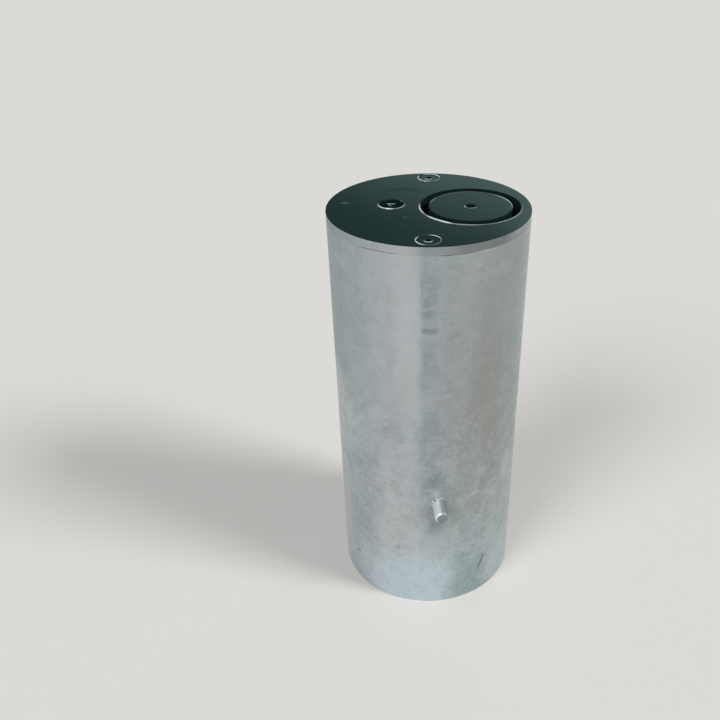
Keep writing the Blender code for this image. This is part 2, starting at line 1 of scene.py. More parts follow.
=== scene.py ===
"""The looks of a retractable bollard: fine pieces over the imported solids, their finishes and a stage.

Metres, +Z up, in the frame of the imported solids. The casing's axis is the Z axis. The post is on its
+X side, the lock on its -X side, and the viewer stands on the -Y side.
"""

import json
import math

import bmesh
import bpy
from mathutils import Matrix, Vector, noise


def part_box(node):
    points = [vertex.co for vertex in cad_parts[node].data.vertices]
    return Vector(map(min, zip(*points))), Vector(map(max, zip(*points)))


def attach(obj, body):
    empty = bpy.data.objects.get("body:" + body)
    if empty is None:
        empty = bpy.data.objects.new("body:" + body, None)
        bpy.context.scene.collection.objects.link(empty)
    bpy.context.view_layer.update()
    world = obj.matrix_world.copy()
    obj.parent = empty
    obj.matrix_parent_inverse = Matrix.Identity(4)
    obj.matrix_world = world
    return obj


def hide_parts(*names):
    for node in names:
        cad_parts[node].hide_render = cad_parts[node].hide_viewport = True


bl_info = {
    "name": "Retractable bollard",
    "version": (1, 0, 0),
    "blender": (4, 5, 0),
    "location": "3D View > Sidebar > Bollard",
    "description": "Dresses the solids of a retractable bollard with fine pieces and finishes",
    "category": "Object",
}

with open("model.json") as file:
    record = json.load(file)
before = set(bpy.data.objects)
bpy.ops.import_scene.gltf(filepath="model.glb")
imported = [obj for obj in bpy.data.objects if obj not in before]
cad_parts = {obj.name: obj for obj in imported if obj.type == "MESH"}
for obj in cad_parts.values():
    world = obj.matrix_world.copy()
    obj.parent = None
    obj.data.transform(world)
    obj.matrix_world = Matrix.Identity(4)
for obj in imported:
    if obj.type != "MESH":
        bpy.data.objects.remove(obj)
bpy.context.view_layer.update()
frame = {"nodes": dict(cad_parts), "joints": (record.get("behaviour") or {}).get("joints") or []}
NODES = frame["nodes"]
JOINTS = {joint["name"]: joint for joint in frame["joints"]}

# How finely round shapes are cut
LARGE_STEPS = 288
MIDDLE_STEPS = 192
SMALL_STEPS = 96
EDGE_STEPS = 4

# Clearances that the solids keep, and mesh tolerances
SEAT_GAP = 0.0003
HOLE_STEP = 0.0003
SCREW_GAP = 0.0006
SWING_GAP = 0.0010
MERGE_DISTANCE = 0.000002
SHARP_ANGLE = math.radians(42)
CORNER_ANGLE = math.radians(50)
QUARTER = math.pi / 2

# Cosine of how far round from the lock the edges of the post's slots lie at most
SLOT_SIDE = 0.5

# A face whose normal rises less than this stands upright, and the least rise of one on the head's rim
UPRIGHT = 0.9
RIM_RISE = 0.2

# The shader's constant values for dull zinc and for the dark coat
ZINC = {"Metallic": 0.45}
COAT = {"Metallic": 0.0, "Specular IOR Level": 0.03}


def middle(node):
    low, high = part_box(node)
    return (low + high) / 2


def radius_of(node):
    low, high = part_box(node)
    return (high.x - low.x) / 2


def bottom_of(node):
    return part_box(node)[0].z


def top_of(node):
    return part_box(node)[1].z


POST_AXIS = Vector((middle("post_tube").x, 0.0, 0.0))
LOCK_AXIS = Vector((*JOINTS["lock_turn"]["pos_m"][:2], 0.0))
POST_TRAVEL = JOINTS["post_lift"]["range_m"][1]
CASING_RADIUS = radius_of("casing_tube")
CASING_BORE = radius_of("base_plate") + SEAT_GAP
GUIDE_BORE = radius_of("wiper_seal") + SEAT_GAP
STUD_MIDDLE = middle("anchor_stud_front")
STUD_AZIMUTH = math.atan2(STUD_MIDDLE.x, -STUD_MIDDLE.y)
METRES_PER_DEGREE = CASING_RADIUS * math.radians(1.0)


def length(label, text, default):
    return bpy.props.FloatProperty(name=label, description=text, default=default, unit="LENGTH", precision=5)


def colour(label, text, default):
    return bpy.props.FloatVectorProperty(
        name=label, description=text, default=default, subtype="COLOR", size=3, min=0.0, max=1.0
    )


def number(label, text, default):
    return bpy.props.FloatProperty(name=label, description=text, default=default)


def angle(label, text, degrees):
    default = math.radians(degrees)
    return bpy.props.FloatProperty(name=label, description=text, default=default, subtype="ANGLE")


class BollardSizes(bpy.types.PropertyGroup):
    """Sizes of the visible detail. What carries or fits is read from the solids."""

    casing_edge: length("Casing edge", "Rounding of the casing's ends", 0.0003)
    cover_edge: length("Cover edge", "Rounding of the cover's outer edge", 0.0006)
    lip_width: length("Lip width", "Width of the raised lip round the post hole and the recess", 0.0015)
    lip_height: length("Lip height", "Height of that lip", 0.0006)
    recess_radius: length("Recess radius", "Radius of the lock's recess in the cover", 0.0119)
    sink_lip: length("Countersink lip", "Width of the raised lip round a countersink", 0.0010)
    sink_proud: length("Countersink lip height", "Height of that lip", 0.0003)
    sink_land: length("Countersink land", "Straight depth of a countersink's mouth", 0.0009)
    screw_radius: length("Screw radius", "Radius of a cover screw's shank", 0.0050)
    screw_edge: length("Screw edge", "Rounding of a cover screw's head", 0.0005)
    socket_flats: length("Socket flats", "Width of a cover screw's hexagon socket", 0.0060)
    # The ring round the socket also carries painted glints
    socket_ring: length("Socket ring", "Width of the rubbed ring round that socket", 0.0013)
    socket_depth: length("Socket depth", "Depth of a cover screw's hexagon socket", 0.0045)
    cap_thickness: length("Cap thickness", "Thickness of the post's head", 0.0100)
    cap_edge: length("Cap edge", "Rounding of the post head's upper edge", 0.0004)
    cap_rim: length("Cap rim", "Width of the raised rim round the post's head", 0.0013)
    cap_dish: length("Cap dish", "How far the post's head lies below its rim", 0.0004)
    lifting_radius: length("Lifting hole radius", "Radius of the tapped hole in the post's head", 0.0045)
    lifting_mouth: length("Lifting hole mouth", "Radius of that hole's chamfered mouth", 0.0054)
    # The ring round the lifting hole also carries painted glints
    lifting_ring: length("Lifting hole ring", "Width of the rubbed ring round that hole", 0.0009)
    thread_pitch: length("Thread pitch", "Pitch of that hole's thread", 0.0015)
    thread_depth: length("Thread depth", "Depth of that hole's thread", 0.0005)
    post_wall: length("Post wall", "Thickness of the post tube's wall", 0.0040)
    slot_height: length("Slot height", "Height of the post's lock slots", 0.0090)
    slot_edge: length("Slot edge", "Rounding of the post's lock slots", 0.0003)
    groove_depth: length("Groove depth", "Depth of the post's clip grooves", 0.0012)
    stud_radius: length("Stud radius", "Radius of an anchor stud", 0.0070)
    stud_length: length("Stud length", "Length of an anchor stud", 0.0240)
    stud_edge: length("Stud edge", "Rounding of an anchor stud's end", 0.0030)
    weld_reach: length("Weld reach", "How far a stud's weld spreads on the casing", 0.0011)
    weld_height: length("Weld height", "How far a stud's weld climbs the stud", 0.0024)
    weld_lumps: length("Weld lumps", "Height of the lumps on a stud's weld", 0.0005)
    triangle_side: length("Triangle side", "Side of the key's triangle", 0.0105)
    triangle_edge: length("Triangle edge", "Rounding of the key triangle's edges", 0.0004)
    triangle_band: length("Triangle band", "Width of the rubbed band on the key triangle's top", 0.0014)
    spindle_radius: length("Spindle radius", "Radius of the lock's spindle", 0.0070)
    spindle_edge: length("Spindle edge", "Rounding of the spindle's upper end", 0.0002)
    clip_groove: length("Clip groove", "Depth of the spindle's clip groove", 0.0008)
    seal_groove: length("Seal groove", "Depth of the spindle's seal groove", 0.0018)
    tail_flats: length("Tail flats", "Width of the spindle's square tail", 0.0100)


class BollardColours(bpy.types.PropertyGroup):
    """Colours of the finishes, as scene-linear values."""

    zinc_light: colour("Light zinc", "Lighter tone of the galvanised steel", (0.440, 0.495, 0.512))
    zinc_dark: colour("Dark zinc", "Darker tone of the galvanised steel", (0.345, 0.400, 0.415))
    # Pale zinc: real runs and scuffs, and also painted highlights and reflections on the casing
    zinc_pale_and_highlight: colour("Pale zinc", "Palest runs and scuffs of the zinc", (0.530, 0.560, 0.585))
    # Painted reflection: the rosy pale band left of the casing's front
    zinc_rose_reflection: colour("Rosy zinc", "Pale zinc left of the seam", (0.560, 0.558, 0.585))
    zinc_green: colour("Green zinc", "Greenish dull zinc", (0.245, 0.330, 0.335))
    # Dull zinc, and also painted shade on the casing's right half and on the stud's end
    zinc_dull_and_shade: colour("Dull zinc", "Dull grey zinc", (0.275, 0.298, 0.298))
    # A darker bluish band down the casing's front, and dark marks on it
    zinc_front_band: colour("Seam", "Ground weld seam along the casing", (0.245, 0.300, 0.330))
    front_band_mark: colour("Seam marks", "Bluish marks on that seam", (0.120, 0.165, 0.205))
    zinc_glint: colour("Glint", "Lightest grain of the zinc", (0.620, 0.660, 0.680))
    zinc_shade: colour("Shade", "Darkest grain of the zinc", (0.165, 0.185, 0.185))
    # Bright zinc at the foot, brighter at the front-left by a painted reflection
    zinc_foot: colour("Foot", "Bright zinc that drained to the casing's foot", (0.530, 0.625, 0.680))
    # Brownish weathering, and also a painted reflection of warm ground on the casing's right
    zinc_warm_and_reflection: colour("Warm stain", "Brownish weathering of the zinc", (0.285, 0.280, 0.265))
    # Dark marks, and also painted shadow round and under the stud
    smudge_and_shadow: colour("Smudge", "Dark marks on the zinc", (0.090, 0.106, 0.106))
    coat: colour("Coat", "Dark coat of the cover and the post's head", (0.005, 0.021, 0.021))
    # Dusty coat, and also a painted sheen towards the back and the right of the cover
    coat_dusty_and_sheen: colour("Dusty coat", "Rubbed and dusty side of the dark coat", (0.040, 0.078, 0.074))
    # Bare steel, and also painted glints on edges and a painted highlight on the stud's lit flank
    bare_metal_and_highlight: colour("Bare metal", "Steel at rubbed edges", (0.820, 0.880, 0.940))
    steel: colour("Turned steel", "Machined steel of the lock and stops", (0.460, 0.465, 0.470))
    zinc_plate: colour("Zinc plate", "Zinc-plated lock housing", (0.520, 0.510, 0.450))
    # Painted shade: near-black for the walls of gaps, sockets and holes
    gap_painted_shade: colour("Gap black", "Grimy walls of the gaps in the cover", (0.0070, 0.0180, 0.0195))
    rubber: colour("Rubber", "Seals and buffer", (0.018, 0.019, 0.019))
    plastic: colour("Plastic", "Guide bushes", (0.640, 0.620, 0.540))
    floor: colour("Floor", "Studio floor", (0.700, 0.690, 0.670))
    floor_shade: colour("Floor shade", "Darker tone of the studio floor", (0.620, 0.610, 0.600))


class BollardStage(bpy.types.PropertyGroup):
    """Camera and light."""

    lens: number("Lens", "Focal length in mm", 39.687)
    sensor: number("Sensor", "Width of the sensor in mm", 36.0)
    camera_place: bpy.props.FloatVectorProperty(
        name="Camera", description="Place of the camera", default=(0.0, -0.72058, 0.69432), subtype="XYZ"
    )
    pitch: angle("Pitch", "Downward tilt", 33.087)
    yaw: angle("Yaw", "Turn to the right", -1.6531)
    roll: angle("Roll", "Roll to the left", -0.5816)
    shift_x: number("Shift X", "Sideways lens shift", -0.06705)
    shift_y: number("Shift Y", "Upward lens shift", 0.03957)
    sky: number("Sky", "Strength of the even light", 0.36)
    key: number("Key", "Strength of the main lamp", 1.45)
    fill: number("Fill", "Strength of the side lamp", 1.9)
    rim: number("Rim", "Strength of the lamp behind", 0.25)
    nearest: length("Nearest view", "How near to the camera the view starts", 0.01)
    floor_size: length("Floor size", "Side of the floor", 24.0)


# Finishes

class Signal:
    """A value that changes over a surface. Arithmetic on it adds Math nodes to its finish."""

    def __init__(self, finish, socket):
        self.finish = finish
        self.socket = socket

    def output(self, name):
        return Signal(self.finish, self.finish.socket_of(self.socket.node.outputs, name))

    def math(self, operation, *values):
        names = ("Value", "Value_001", "Value_002")
        return self.finish.node("ShaderNodeMath", {"operation": operation}, dict(zip(names, values)))

    def __add__(self, other):
        return self.math("ADD", self, other)

    def __radd__(self, other):
        return self.math("ADD", other, self)

    def __sub__(self, other):
        return self.math("SUBTRACT", self, other)

    def __rsub__(self, other):
        return self.math("SUBTRACT", other, self)

    def __mul__(self, other):
        return self.math("MULTIPLY", self, other)

    def __rmul__(self, other):
        return self.math("MULTIPLY", other, self)

    def __abs__(self):
        return self.math("ABSOLUTE", self)

    def hypotenuse(self, other):
        return self.math("SQRT", self * self + other * other)

    def rise(self, low, high):
        """0 below low, 1 above high and a smooth step between them."""
        return self.finish.node(
            "ShaderNodeMapRange",
            {"interpolation_type": "SMOOTHSTEP"},
            {"Value": self, "From Min": low, "From Max": high},
            "Result",
        )

    def band(self, centre, inner, outer):
        """1 within inner of the centre, and 0 beyond outer."""
        return 1.0 - abs(self - centre).rise(inner, outer)


class Finish:
    """One material, whose nodes grow from expressions. Its patterns lie in Object coordinates."""

    def __init__(self, name, constants):
        self.material = bpy.data.materials.new(name)
        self.material.use_nodes = True
        self.tree = self.material.node_tree
        self.shader = self.tree.nodes["Principled BSDF"]
        for socket, value in constants.items():
            self.shader.inputs[socket].default_value = value
        self.place = self.node("ShaderNodeTexCoord", output="Object")
        self.x = self.node("ShaderNodeSeparateXYZ", {}, {"Vector": self.place}, "X")
        self.y = self.x.output("Y")
        self.z = self.x.output("Z")

    @staticmethod
    def socket_of(sockets, key):
        if isinstance(key, int):
            return sockets[key]
        for socket in sockets:
            if socket.identifier == key or socket.name == key:
                return socket
        raise KeyError(key)

    def node(self, kind, settings=None, inputs=None, output=0):
        """Adds a node with these settings and inputs, and returns one of its outputs."""
        node = self.tree.nodes.new(kind)
        for name, value in (settings or {}).items():
            setattr(node, name, value)
        for name, value in (inputs or {}).items():
            socket = self.socket_of(node.inputs, name)
            if isinstance(value, Signal):
                self.tree.links.new(value.socket, socket)
            elif socket.type == "RGBA":
                socket.default_value = (*value[:3], 1.0)
            else:
                socket.default_value = value
        return Signal(self, self.socket_of(node.outputs, output))

    def feed(self, name, signal):
        self.tree.links.new(signal.socket, self.shader.inputs[name])

    def clouds(self, scale, detail=4.0, stretch=(1, 1, 1), shift=(0, 0, 0), warp=0.0):
        """Noise about 0.5. A pattern is drawn out along an axis whose stretch is small."""
        mapping = {"Vector": self.place, "Scale": stretch, "Location": shift}
        inputs = {
            "Vector": self.node("ShaderNodeMapping", {}, mapping),
            "Scale": scale,
            "Detail": detail,
            "Roughness": 0.55,
            "Distortion": warp,
        }
        return self.node("ShaderNodeTexNoise", {}, inputs)

    def cells(self, scale):
        """How far a place lies from the nearest of scattered points."""
        return self.node("ShaderNodeTexVoronoi", {}, {"Vector": self.place, "Scale": scale}, "Distance")

    def mix(self, factor, first, second):
        inputs = {"Factor_Float": factor, "A_Color": first, "B_Color": second}
        return self.node("ShaderNodeMix", {"data_type": "RGBA"}, inputs, "Result_Color")

    def layered(self, base, *layers):
        """Lays tints over a colour, one after another, each as (how far, tint)."""
        for amount, tint in layers:
            base = self.mix(amount, base, tint)
        return base

    def attribute(self, name):
        """A value that the mesh holds at each of its points."""
        return self.node("ShaderNodeAttribute", {"attribute_name": name}, {}, "Fac")

    def surface(self, colour, roughness, height, distance, strength=0.5):
        """Feeds the shader its colour, its roughness and a bump."""
        self.feed("Base Color", colour)
        self.feed("Roughness", roughness)
        inputs = {"Height": height, "Distance": distance, "Strength": strength}
        self.feed("Normal", self.node("ShaderNodeBump", {}, inputs, "Normal"))

    def azimuth(self):
        """Degrees round the Z axis, from the viewer's side towards +X."""
        return self.x.math("ARCTAN2", self.x, 0.0 - self.y) * math.degrees(1.0)


def palette():
    return bpy.context.scene.bollard_colours


FINISHES = {}


def fills(name, constants):
    """Enters a function that fills a finish in, under the finish's name and with its constant values."""

    def enter(fill):
        FINISHES[name] = (fill, constants)
        return fill

    return enter


def finish_named(name):
    if name not in bpy.data.materials:
        fill, constants = FINISHES[name]
        fill(Finish(name, constants), palette())
    return bpy.data.materials[name]


def zinc_tone(finish):
    """The soft mottle of hot-dip zinc, about 0.5: clouds, drawn-out runs, turned rings and crystals."""
    clouds = finish.clouds(17.0, 5.0, warp=0.5)
    fine = finish.clouds(90.0, 4.0)
    runs = finish.clouds(42.0, 3.0, stretch=(1.0, 1.0, 0.05))
    rings = finish.clouds(9.0, 4.0, stretch=(0.6, 0.6, 16.0))
    return clouds * 0.42 + fine * 0.18 + runs * 0.24 + rings * 0.16


def zinc_base(finish, tone):
    colours = palette()
    return finish.mix(tone.rise(0.36, 0.66), colours.zinc_dark, colours.zinc_light)


@fills("bollard_galvanised", ZINC)
def fill_galvanised(finish, colours):
    """Plain galvanised steel, for the pieces that have no marks of their own."""
    tone = zinc_tone(finish)
    base = zinc_base(finish, tone)
    finish.surface(base, 0.38 + tone * 0.24, finish.clouds(180.0, 4.0), 0.00010)


@fills("bollard_galvanised_post", ZINC)
def fill_galvanised_post(finish, colours):
    """The post's zinc, rubbed along its length by the bushes and the wiper."""
    tone = zinc_tone(finish)
    rubs = finish.clouds(70.0, 3.0, stretch=(1.0, 1.0, 0.02)).rise(0.52, 0.70)
    patches = finish.clouds(9.0, 3.0).rise(0.42, 0.62)
    base = finish.mix(rubs * patches * 0.6, zinc_base(finish, tone), colours.zinc_pale_and_highlight)
    grime = finish.clouds(28.0, 5.0, shift=(0.4, 0.1, 0.7)).rise(0.56, 0.76)
    base = finish.mix(grime * 0.35, base, colours.smudge_and_shadow)
    finish.surface(base, 0.44 + tone * 0.22 - rubs * 0.12, finish.clouds(160.0, 4.0) + rubs * 0.4, 0.00010)


@fills("bollard_guide_wall", {"Metallic": 0.2})
def fill_guide_wall(finish, colours):
    """The guide tube's zinc, with painted shade in rubber black at its mouth, down in the gap."""
    tone = zinc_tone(finish)
    mouth = (finish.z + tone * 0.02).rise(bottom_of("stop_ring"), bottom_of("wiper_seal"))
    # Painted shade: rubber black at the mouth
    base = finish.mix(mouth, zinc_base(finish, tone), colours.rubber)
    finish.surface(base, 0.50 + tone * 0.24, finish.clouds(180.0, 4.0), 0.00010)


class CasingWall:
    """Marks on the casing's wall. Places are degrees round it and metres up it."""

    def __init__(self, finish):
        self.finish = finish
        self.turn = finish.azimuth()
        self.round = self.turn * METRES_PER_DEGREE
        self.height = finish.z
        self.ragged = finish.clouds(40.0, 4.0) - 0.5
        self.broad = finish.clouds(13.0, 3.0, shift=(0.2, 0.7, 0.4)) - 0.5
        self.ahead = 1.0 - abs(self.turn).rise(150.0, 176.0)

    def spot(self, place, inner, outer, flatten=1.0, rough=0.0):
        """1 within inner of a place and 0 beyond outer, flattened in height and with a rough edge."""
        turn, height = place
        across = self.round - turn * METRES_PER_DEGREE + self.ragged * rough
        return 1.0 - across.hypotenuse((self.height - height) * flatten).rise(inner, outer)

    def line(self, first, last, width, wander=1.0, bow=0.0):
        """1 on a scratch between two places, which wanders by some of its widths and bows to one side."""
        start = Vector((first[0] * METRES_PER_DEGREE, first[1]))
        end = Vector((last[0] * METRES_PER_DEGREE, last[1]))
        reach = (end - start).length
        way = (end - start) / reach
        over = self.round - start.x
        rise = self.height - start.y
        along = over * way.x + rise * way.y
        aside = along * (2.0 / reach) - 1.0
        across = over * way.y - rise * way.x + self.ragged * width * wander + aside * aside * bow
        return across.band(0.0, width / 3, width) * along.band(reach / 2, reach * 0.25, reach / 2)

    def strokes(self, lean, scale, seed):
        """Noise about 0, drawn out along lines that lean from level by some degrees. None at the back,
        where the unrolled wall ends."""
        way = math.radians(lean)
        along = self.round * math.cos(way) + self.height * math.sin(way)
        across = self.height * math.cos(way) - self.round * math.sin(way)
        place = self.finish.node("ShaderNodeCombineXYZ", {}, {"X": along * 0.12, "Y": across, "Z": seed})
        inputs = {"Vector": place, "Scale": scale, "Detail": 4.0, "Roughness": 0.6}
        return (self.finish.node("ShaderNodeTexNoise", {}, inputs) - 0.5) * self.ahead


def casing_grain(finish, wall):
    """The casing's fine mottle about 0, livelier towards the foot, with level rubs and slanting ones."""
    lively = 1.0 - wall.height.rise(0.19, 0.31) * 0.55
    blotches = finish.clouds(65.0, 5.0, warp=0.8) - 0.5
    grain = finish.clouds(240.0, 3.0) - 0.5
    level = wall.strokes(1.0, 250.0, 0.2)
    upward = wall.strokes(48.0, 130.0, 0.5) * wall.spot((-40.0, 0.236), 0.010, 0.055, 1.0, 0.06)
    downward = wall.strokes(-34.0, 120.0, 0.8) * wall.spot((-34.0, 0.115), 0.015, 0.075, 1.0, 0.06)
    steep = wall.strokes(80.0, 110.0, 1.1) * wall.spot((46.0, 0.110), 0.015, 0.065, 0.8, 0.06)
    even = (blotches * 0.72 + grain * 0.42 + level * 0.30) * lively
    return even + upward * 1.1 + downward * 0.7 + steep * 0.7


def grained(finish, base, grain, amount):
    """Lightens and darkens a colour by a grain about 0."""
    colours = palette()
    base = finish.mix(grain * amount, base, colours.zinc_glint)
    return finish.mix(grain * -amount, base, colours.zinc_shade)


def casing_bands_and_painted_light(finish, wall, base):
    """Broad bands of tint, many of them painted light: a pale, rosy band left of the front band that is a
    painted reflection, greenish at the left, a painted highlight low on the left edge and a painted glint,
    painted shade that dulls the right half and a brownish painted reflection of warm ground at the right.
    """
    colours = palette()
    turn = wall.turn
    height = wall.height
    broad = wall.broad
    tint = finish.clouds(34.0, 4.0, shift=(0.9, 0.3, 0.6)) - 0.5
    tint += (finish.clouds(150.0, 3.0, shift=(0.2, 0.5, 0.8)) - 0.5) * 0.8
    # Painted reflection: a pale band just left of the front, paler towards the foot
    pale_reflection = (turn + broad * 14.0).band(-18.0, 5.0, 22.0) * (0.78 - height.rise(0.13, 0.22) * 0.34)
    left = (1.0 - (turn + broad * 16.0).rise(-46.0, -20.0)) * height.rise(0.24, 0.34)
    edge = 1.0 - (turn + broad * 10.0).rise(-70.0, -48.0)
    wavy = height + broad * 0.06
    # Painted glint low on the left side
    glint = wall.spot((-56.0, 0.218), 0.006, 0.042, 0.8, 0.04)
    haze = (turn + broad * 12.0).band(-40.0, 4.0, 18.0) * wavy.band(0.255, 0.03, 0.07)
    # Painted reflection: a rosy pale band left of the front, high up
    rosy_reflection = (turn + broad * 8.0).band(-12.0, 3.0, 11.0) * height.rise(0.22, 0.32)
    dusk = (turn + broad * 12.0).band(37.0, 5.0, 16.0) * (height + broad * 0.05).band(0.150, 0.012, 0.040)
    end = 1.0 - turn.rise(66.0, 82.0)
    # Painted shade: the right half duller, and more so round 49 degrees
    right = (turn + broad * 8.0).rise(1.0, 10.0) * wavy.rise(0.10, 0.20) * end
    far_shade = (turn + broad * 10.0).band(49.0, 9.0, 22.0) * (0.35 + height.rise(0.18, 0.30) * 0.65)
    # Painted reflection of warm ground, brownish at the right
    warm_reflection = (turn + broad * 22.0).band(36.0, 2.0, 24.0) * (height + broad * 0.10).band(0.262, 0.03, 0.15)
    return finish.layered(
        base,
        (tint.rise(0.02, 0.22) * 0.30, colours.zinc_warm_and_reflection),
        ((0.0 - tint).rise(0.02, 0.22) * 0.26, colours.zinc_green),
        (pale_reflection, colours.zinc_pale_and_highlight),
        (left * 0.10, colours.zinc_green),
        (edge * wavy.rise(0.24, 0.32) * 0.46, colours.zinc_green),
        # Painted highlight: pale low on the left edge
        (edge * (1.0 - wavy.rise(0.255, 0.290)) * 0.72, colours.zinc_pale_and_highlight),
        (glint * 0.60, colours.zinc_pale_and_highlight),
        (haze * 0.42, colours.zinc_light),
        (rosy_reflection * 0.45, colours.zinc_rose_reflection),
        (dusk * 0.34, colours.zinc_warm_and_reflection),
        (right * 0.46, colours.zinc_dull_and_shade),
        (far_shade * 0.42, colours.zinc_dull_and_shade),
        (warm_reflection * 0.66, colours.zinc_warm_and_reflection),
    )


def casing_front_band(finish, wall, base):
    """A patchy, darker bluish band down the front with level smears, which fades towards the foot."""
    colours = palette()
    height = wall.height
    ragged = wall.ragged
    fading = (height + wall.broad * 0.08).rise(0.07, 0.17)
    band = (wall.turn + ragged * 4.0).band(1.3, 2.0, 7.0) * fading
    patches = finish.clouds(24.0, 4.0, shift=(0.5, 0.2, 0.9), warp=0.8)
    smears = wall.strokes(4.0, 90.0, 0.37)
    base = finish.mix(band * (patches * 1.5 + smears * 0.8 - 0.37), base, colours.zinc_front_band)
    zone = (height + ragged * 0.05).band(0.372, 0.010, 0.036)
    base = finish.mix(band * smears.rise(-0.02, 0.16) * zone * 0.30, base, colours.front_band_mark)
    dash = wall.line((-4.2, 0.3485), (6.6, 0.3474), 0.0034, 2.0)
    edge = wall.line((-3.4, 0.404), (-3.0, 0.378), 0.0016, 2.0)
    edge += wall.line((-3.5, 0.232), (-3.3, 0.180), 0.0009) * 0.5
    return finish.mix(dash * 0.34 + edge * 0.26, base, colours.front_band_mark)


def casing_foot(finish, wall, base):
    """Bright zinc that drained to the foot, brighter still at the front-left by a painted reflection, and a
    greenish patch of it at the right.
    """
    colours = palette()
    turn = wall.turn
    broad = wall.broad
    mottle = finish.clouds(55.0, 5.0, shift=(0.1, 0.8, 0.2), warp=1.0)
    level = wall.height + broad * 0.05 + wall.ragged * 0.035 + (mottle - 0.5) * 0.05
    # Painted reflection: the foot brighter towards the front-left
    lit = (turn + broad * 26.0).band(-14.0, 6.0, 42.0)
    foot = (1.0 - level.rise(0.030, 0.094)) * (0.55 + mottle * 0.9)
    base = finish.mix(foot * (0.20 + lit * 0.94), base, colours.zinc_foot)
    patch = (turn + broad * 18.0 + (mottle - 0.5) * 16.0).band(31.0, 6.0, 22.0)
    dregs = (1.0 - (level + wall.strokes(60.0, 120.0, 1.7) * 0.06).rise(0.042, 0.084)) * patch
    base = finish.mix(dregs * (0.38 + mottle * 0.62), base, colours.zinc_green)
    pale_line = wall.line((12.8, 0.098), (13.4, 0.020), 0.0008)
    return finish.mix(pale_line * 0.30, base, colours.zinc_pale_and_highlight)


def casing_marks(finish, wall, base):
    """Soot above the stud and painted shadow round and under it, a smear by it, scuffs, a painted gleam
    along the right edge, a scratch, spots and specks.
    """
    colours = palette()
    ragged = wall.ragged

    def by_stud(across, up, *extent):
        return wall.spot((math.degrees(STUD_AZIMUTH) + across, STUD_MIDDLE.z + up), *extent)

    # Painted shadow round and under the stud; the two marks above it are soot
    soot_and_shadow = by_stud(-2.0, -0.006, 0.004, 0.036, 0.62, 0.04) * 0.15
    soot_and_shadow += by_stud(-3.5, 0.036, 0.001, 0.016, 0.8, 0.04) * ragged.rise(-0.10, 0.10) * 0.34
    soot_and_shadow += by_stud(-6.5, 0.050, 0.001, 0.012, 1.0, 0.04) * ragged.rise(-0.06, 0.12) * 0.24
    soot_and_shadow += by_stud(-1.0, -0.030, 0.004, 0.024, 0.85, 0.02) * 0.20
    soot_and_shadow += by_stud(-4.5, -0.026, 0.001, 0.007, 1.0, 0.01) * 0.14
    leaf = wall.line((-60.0, 0.178), (-55.5, 0.147), 0.0035)
    streak = wall.line((38.4, 0.226), (38.0, 0.192), 0.0024, 2.0)
    smear = by_stud(-2.0, 0.012, 0.001, 0.0085, 0.75, 0.01)
    scuffs = wall.spot((33.5, 0.147), 0.003, 0.014, 1.4, 0.03)
    scuffs *= finish.clouds(210.0, 3.0).rise(0.48, 0.62)
    swirl = wall.spot((-44.0, 0.300), 0.004, 0.018, 0.7, 0.04)
    swirl *= finish.clouds(90.0, 2.0, warp=2.0).rise(0.50, 0.60)
    # Painted highlight: a pale gleam along the right edge
    gleam = wall.line((64.0, 0.182), (57.0, 0.135), 0.0085, 3.0)
    rubs = wall.line((42.0, 0.4268), (82.0, 0.4262), 0.0007)
    rubs += wall.line((50.0, 0.4200), (84.0, 0.4206), 0.0008)
    scratch = wall.line((42.1, 0.0545), (36.7, 0.0310), 0.0021, 3.5, -0.0014)
    spots = wall.spot((-52.3, 0.0422), 0.0010, 0.0034, 1.0, 0.001)
    spots += wall.spot((-18.3, 0.0787), 0.0008, 0.0040, 0.6, 0.004) * 0.48
    specks = (1.0 - finish.cells(21.0).rise(0.018, 0.040)) * wall.broad.rise(-0.02, 0.10)
    return finish.layered(
        base,
        (soot_and_shadow + leaf * 0.24 + streak * 0.11, colours.smudge_and_shadow),
        (smear * 0.70 + scuffs * 0.55 + swirl * 0.20 + gleam * 0.36 + rubs * 0.34, colours.zinc_pale_and_highlight),
        (scratch * 0.75 + spots * 0.65 + specks * 0.35, colours.smudge_and_shadow),
    )


def casing_colour(finish):
    """The casing's zinc with all its marks, and its tone."""
    wall = CasingWall(finish)
    tone = zinc_tone(finish)
    base = casing_bands_and_painted_light(finish, wall, zinc_base(finish, tone))
    base = casing_front_band(finish, wall, base)
    base = casing_foot(finish, wall, base)
    base = grained(finish, base, casing_grain(finish, wall), 1.25)
    return casing_marks(finish, wall, base), tone


@fills("bollard_galvanised_casing", ZINC)
def fill_galvanised_casing(finish, colours):
    base, tone = casing_colour(finish)
    height = finish.clouds(140.0, 4.0) + finish.clouds(22.0, 2.0) * 1.5
    finish.surface(base, 0.38 + tone * 0.24, height, 0.00012)


@fills("bollard_galvanised_weld", ZINC)
def fill_weld(finish, colours):
    """Stud and weld in the casing's zinc, with a painted highlight on one flank and painted shade on the
    other, as a mesh attribute says. The attribute pits holds the depth of each pit in the weld."""
    base, tone = casing_colour(finish)
    flank = finish.attribute("flank") + (tone - 0.5) * 0.8
    # Painted shade on the stud's right flank
    base = finish.mix((0.0 - flank).rise(-0.45, 0.55) * 0.52, base, colours.zinc_shade)
    # Painted highlight on the stud's left flank
    base = finish.mix(flank.rise(0.25, 0.65) * 0.84, base, colours.bare_metal_and_highlight)
    base = finish.mix(finish.attribute("pits") * 0.9, base, colours.smudge_and_shadow)
    finish.surface(base, 0.42 + tone * 0.22, finish.clouds(420.0, 4.0), 0.00010)


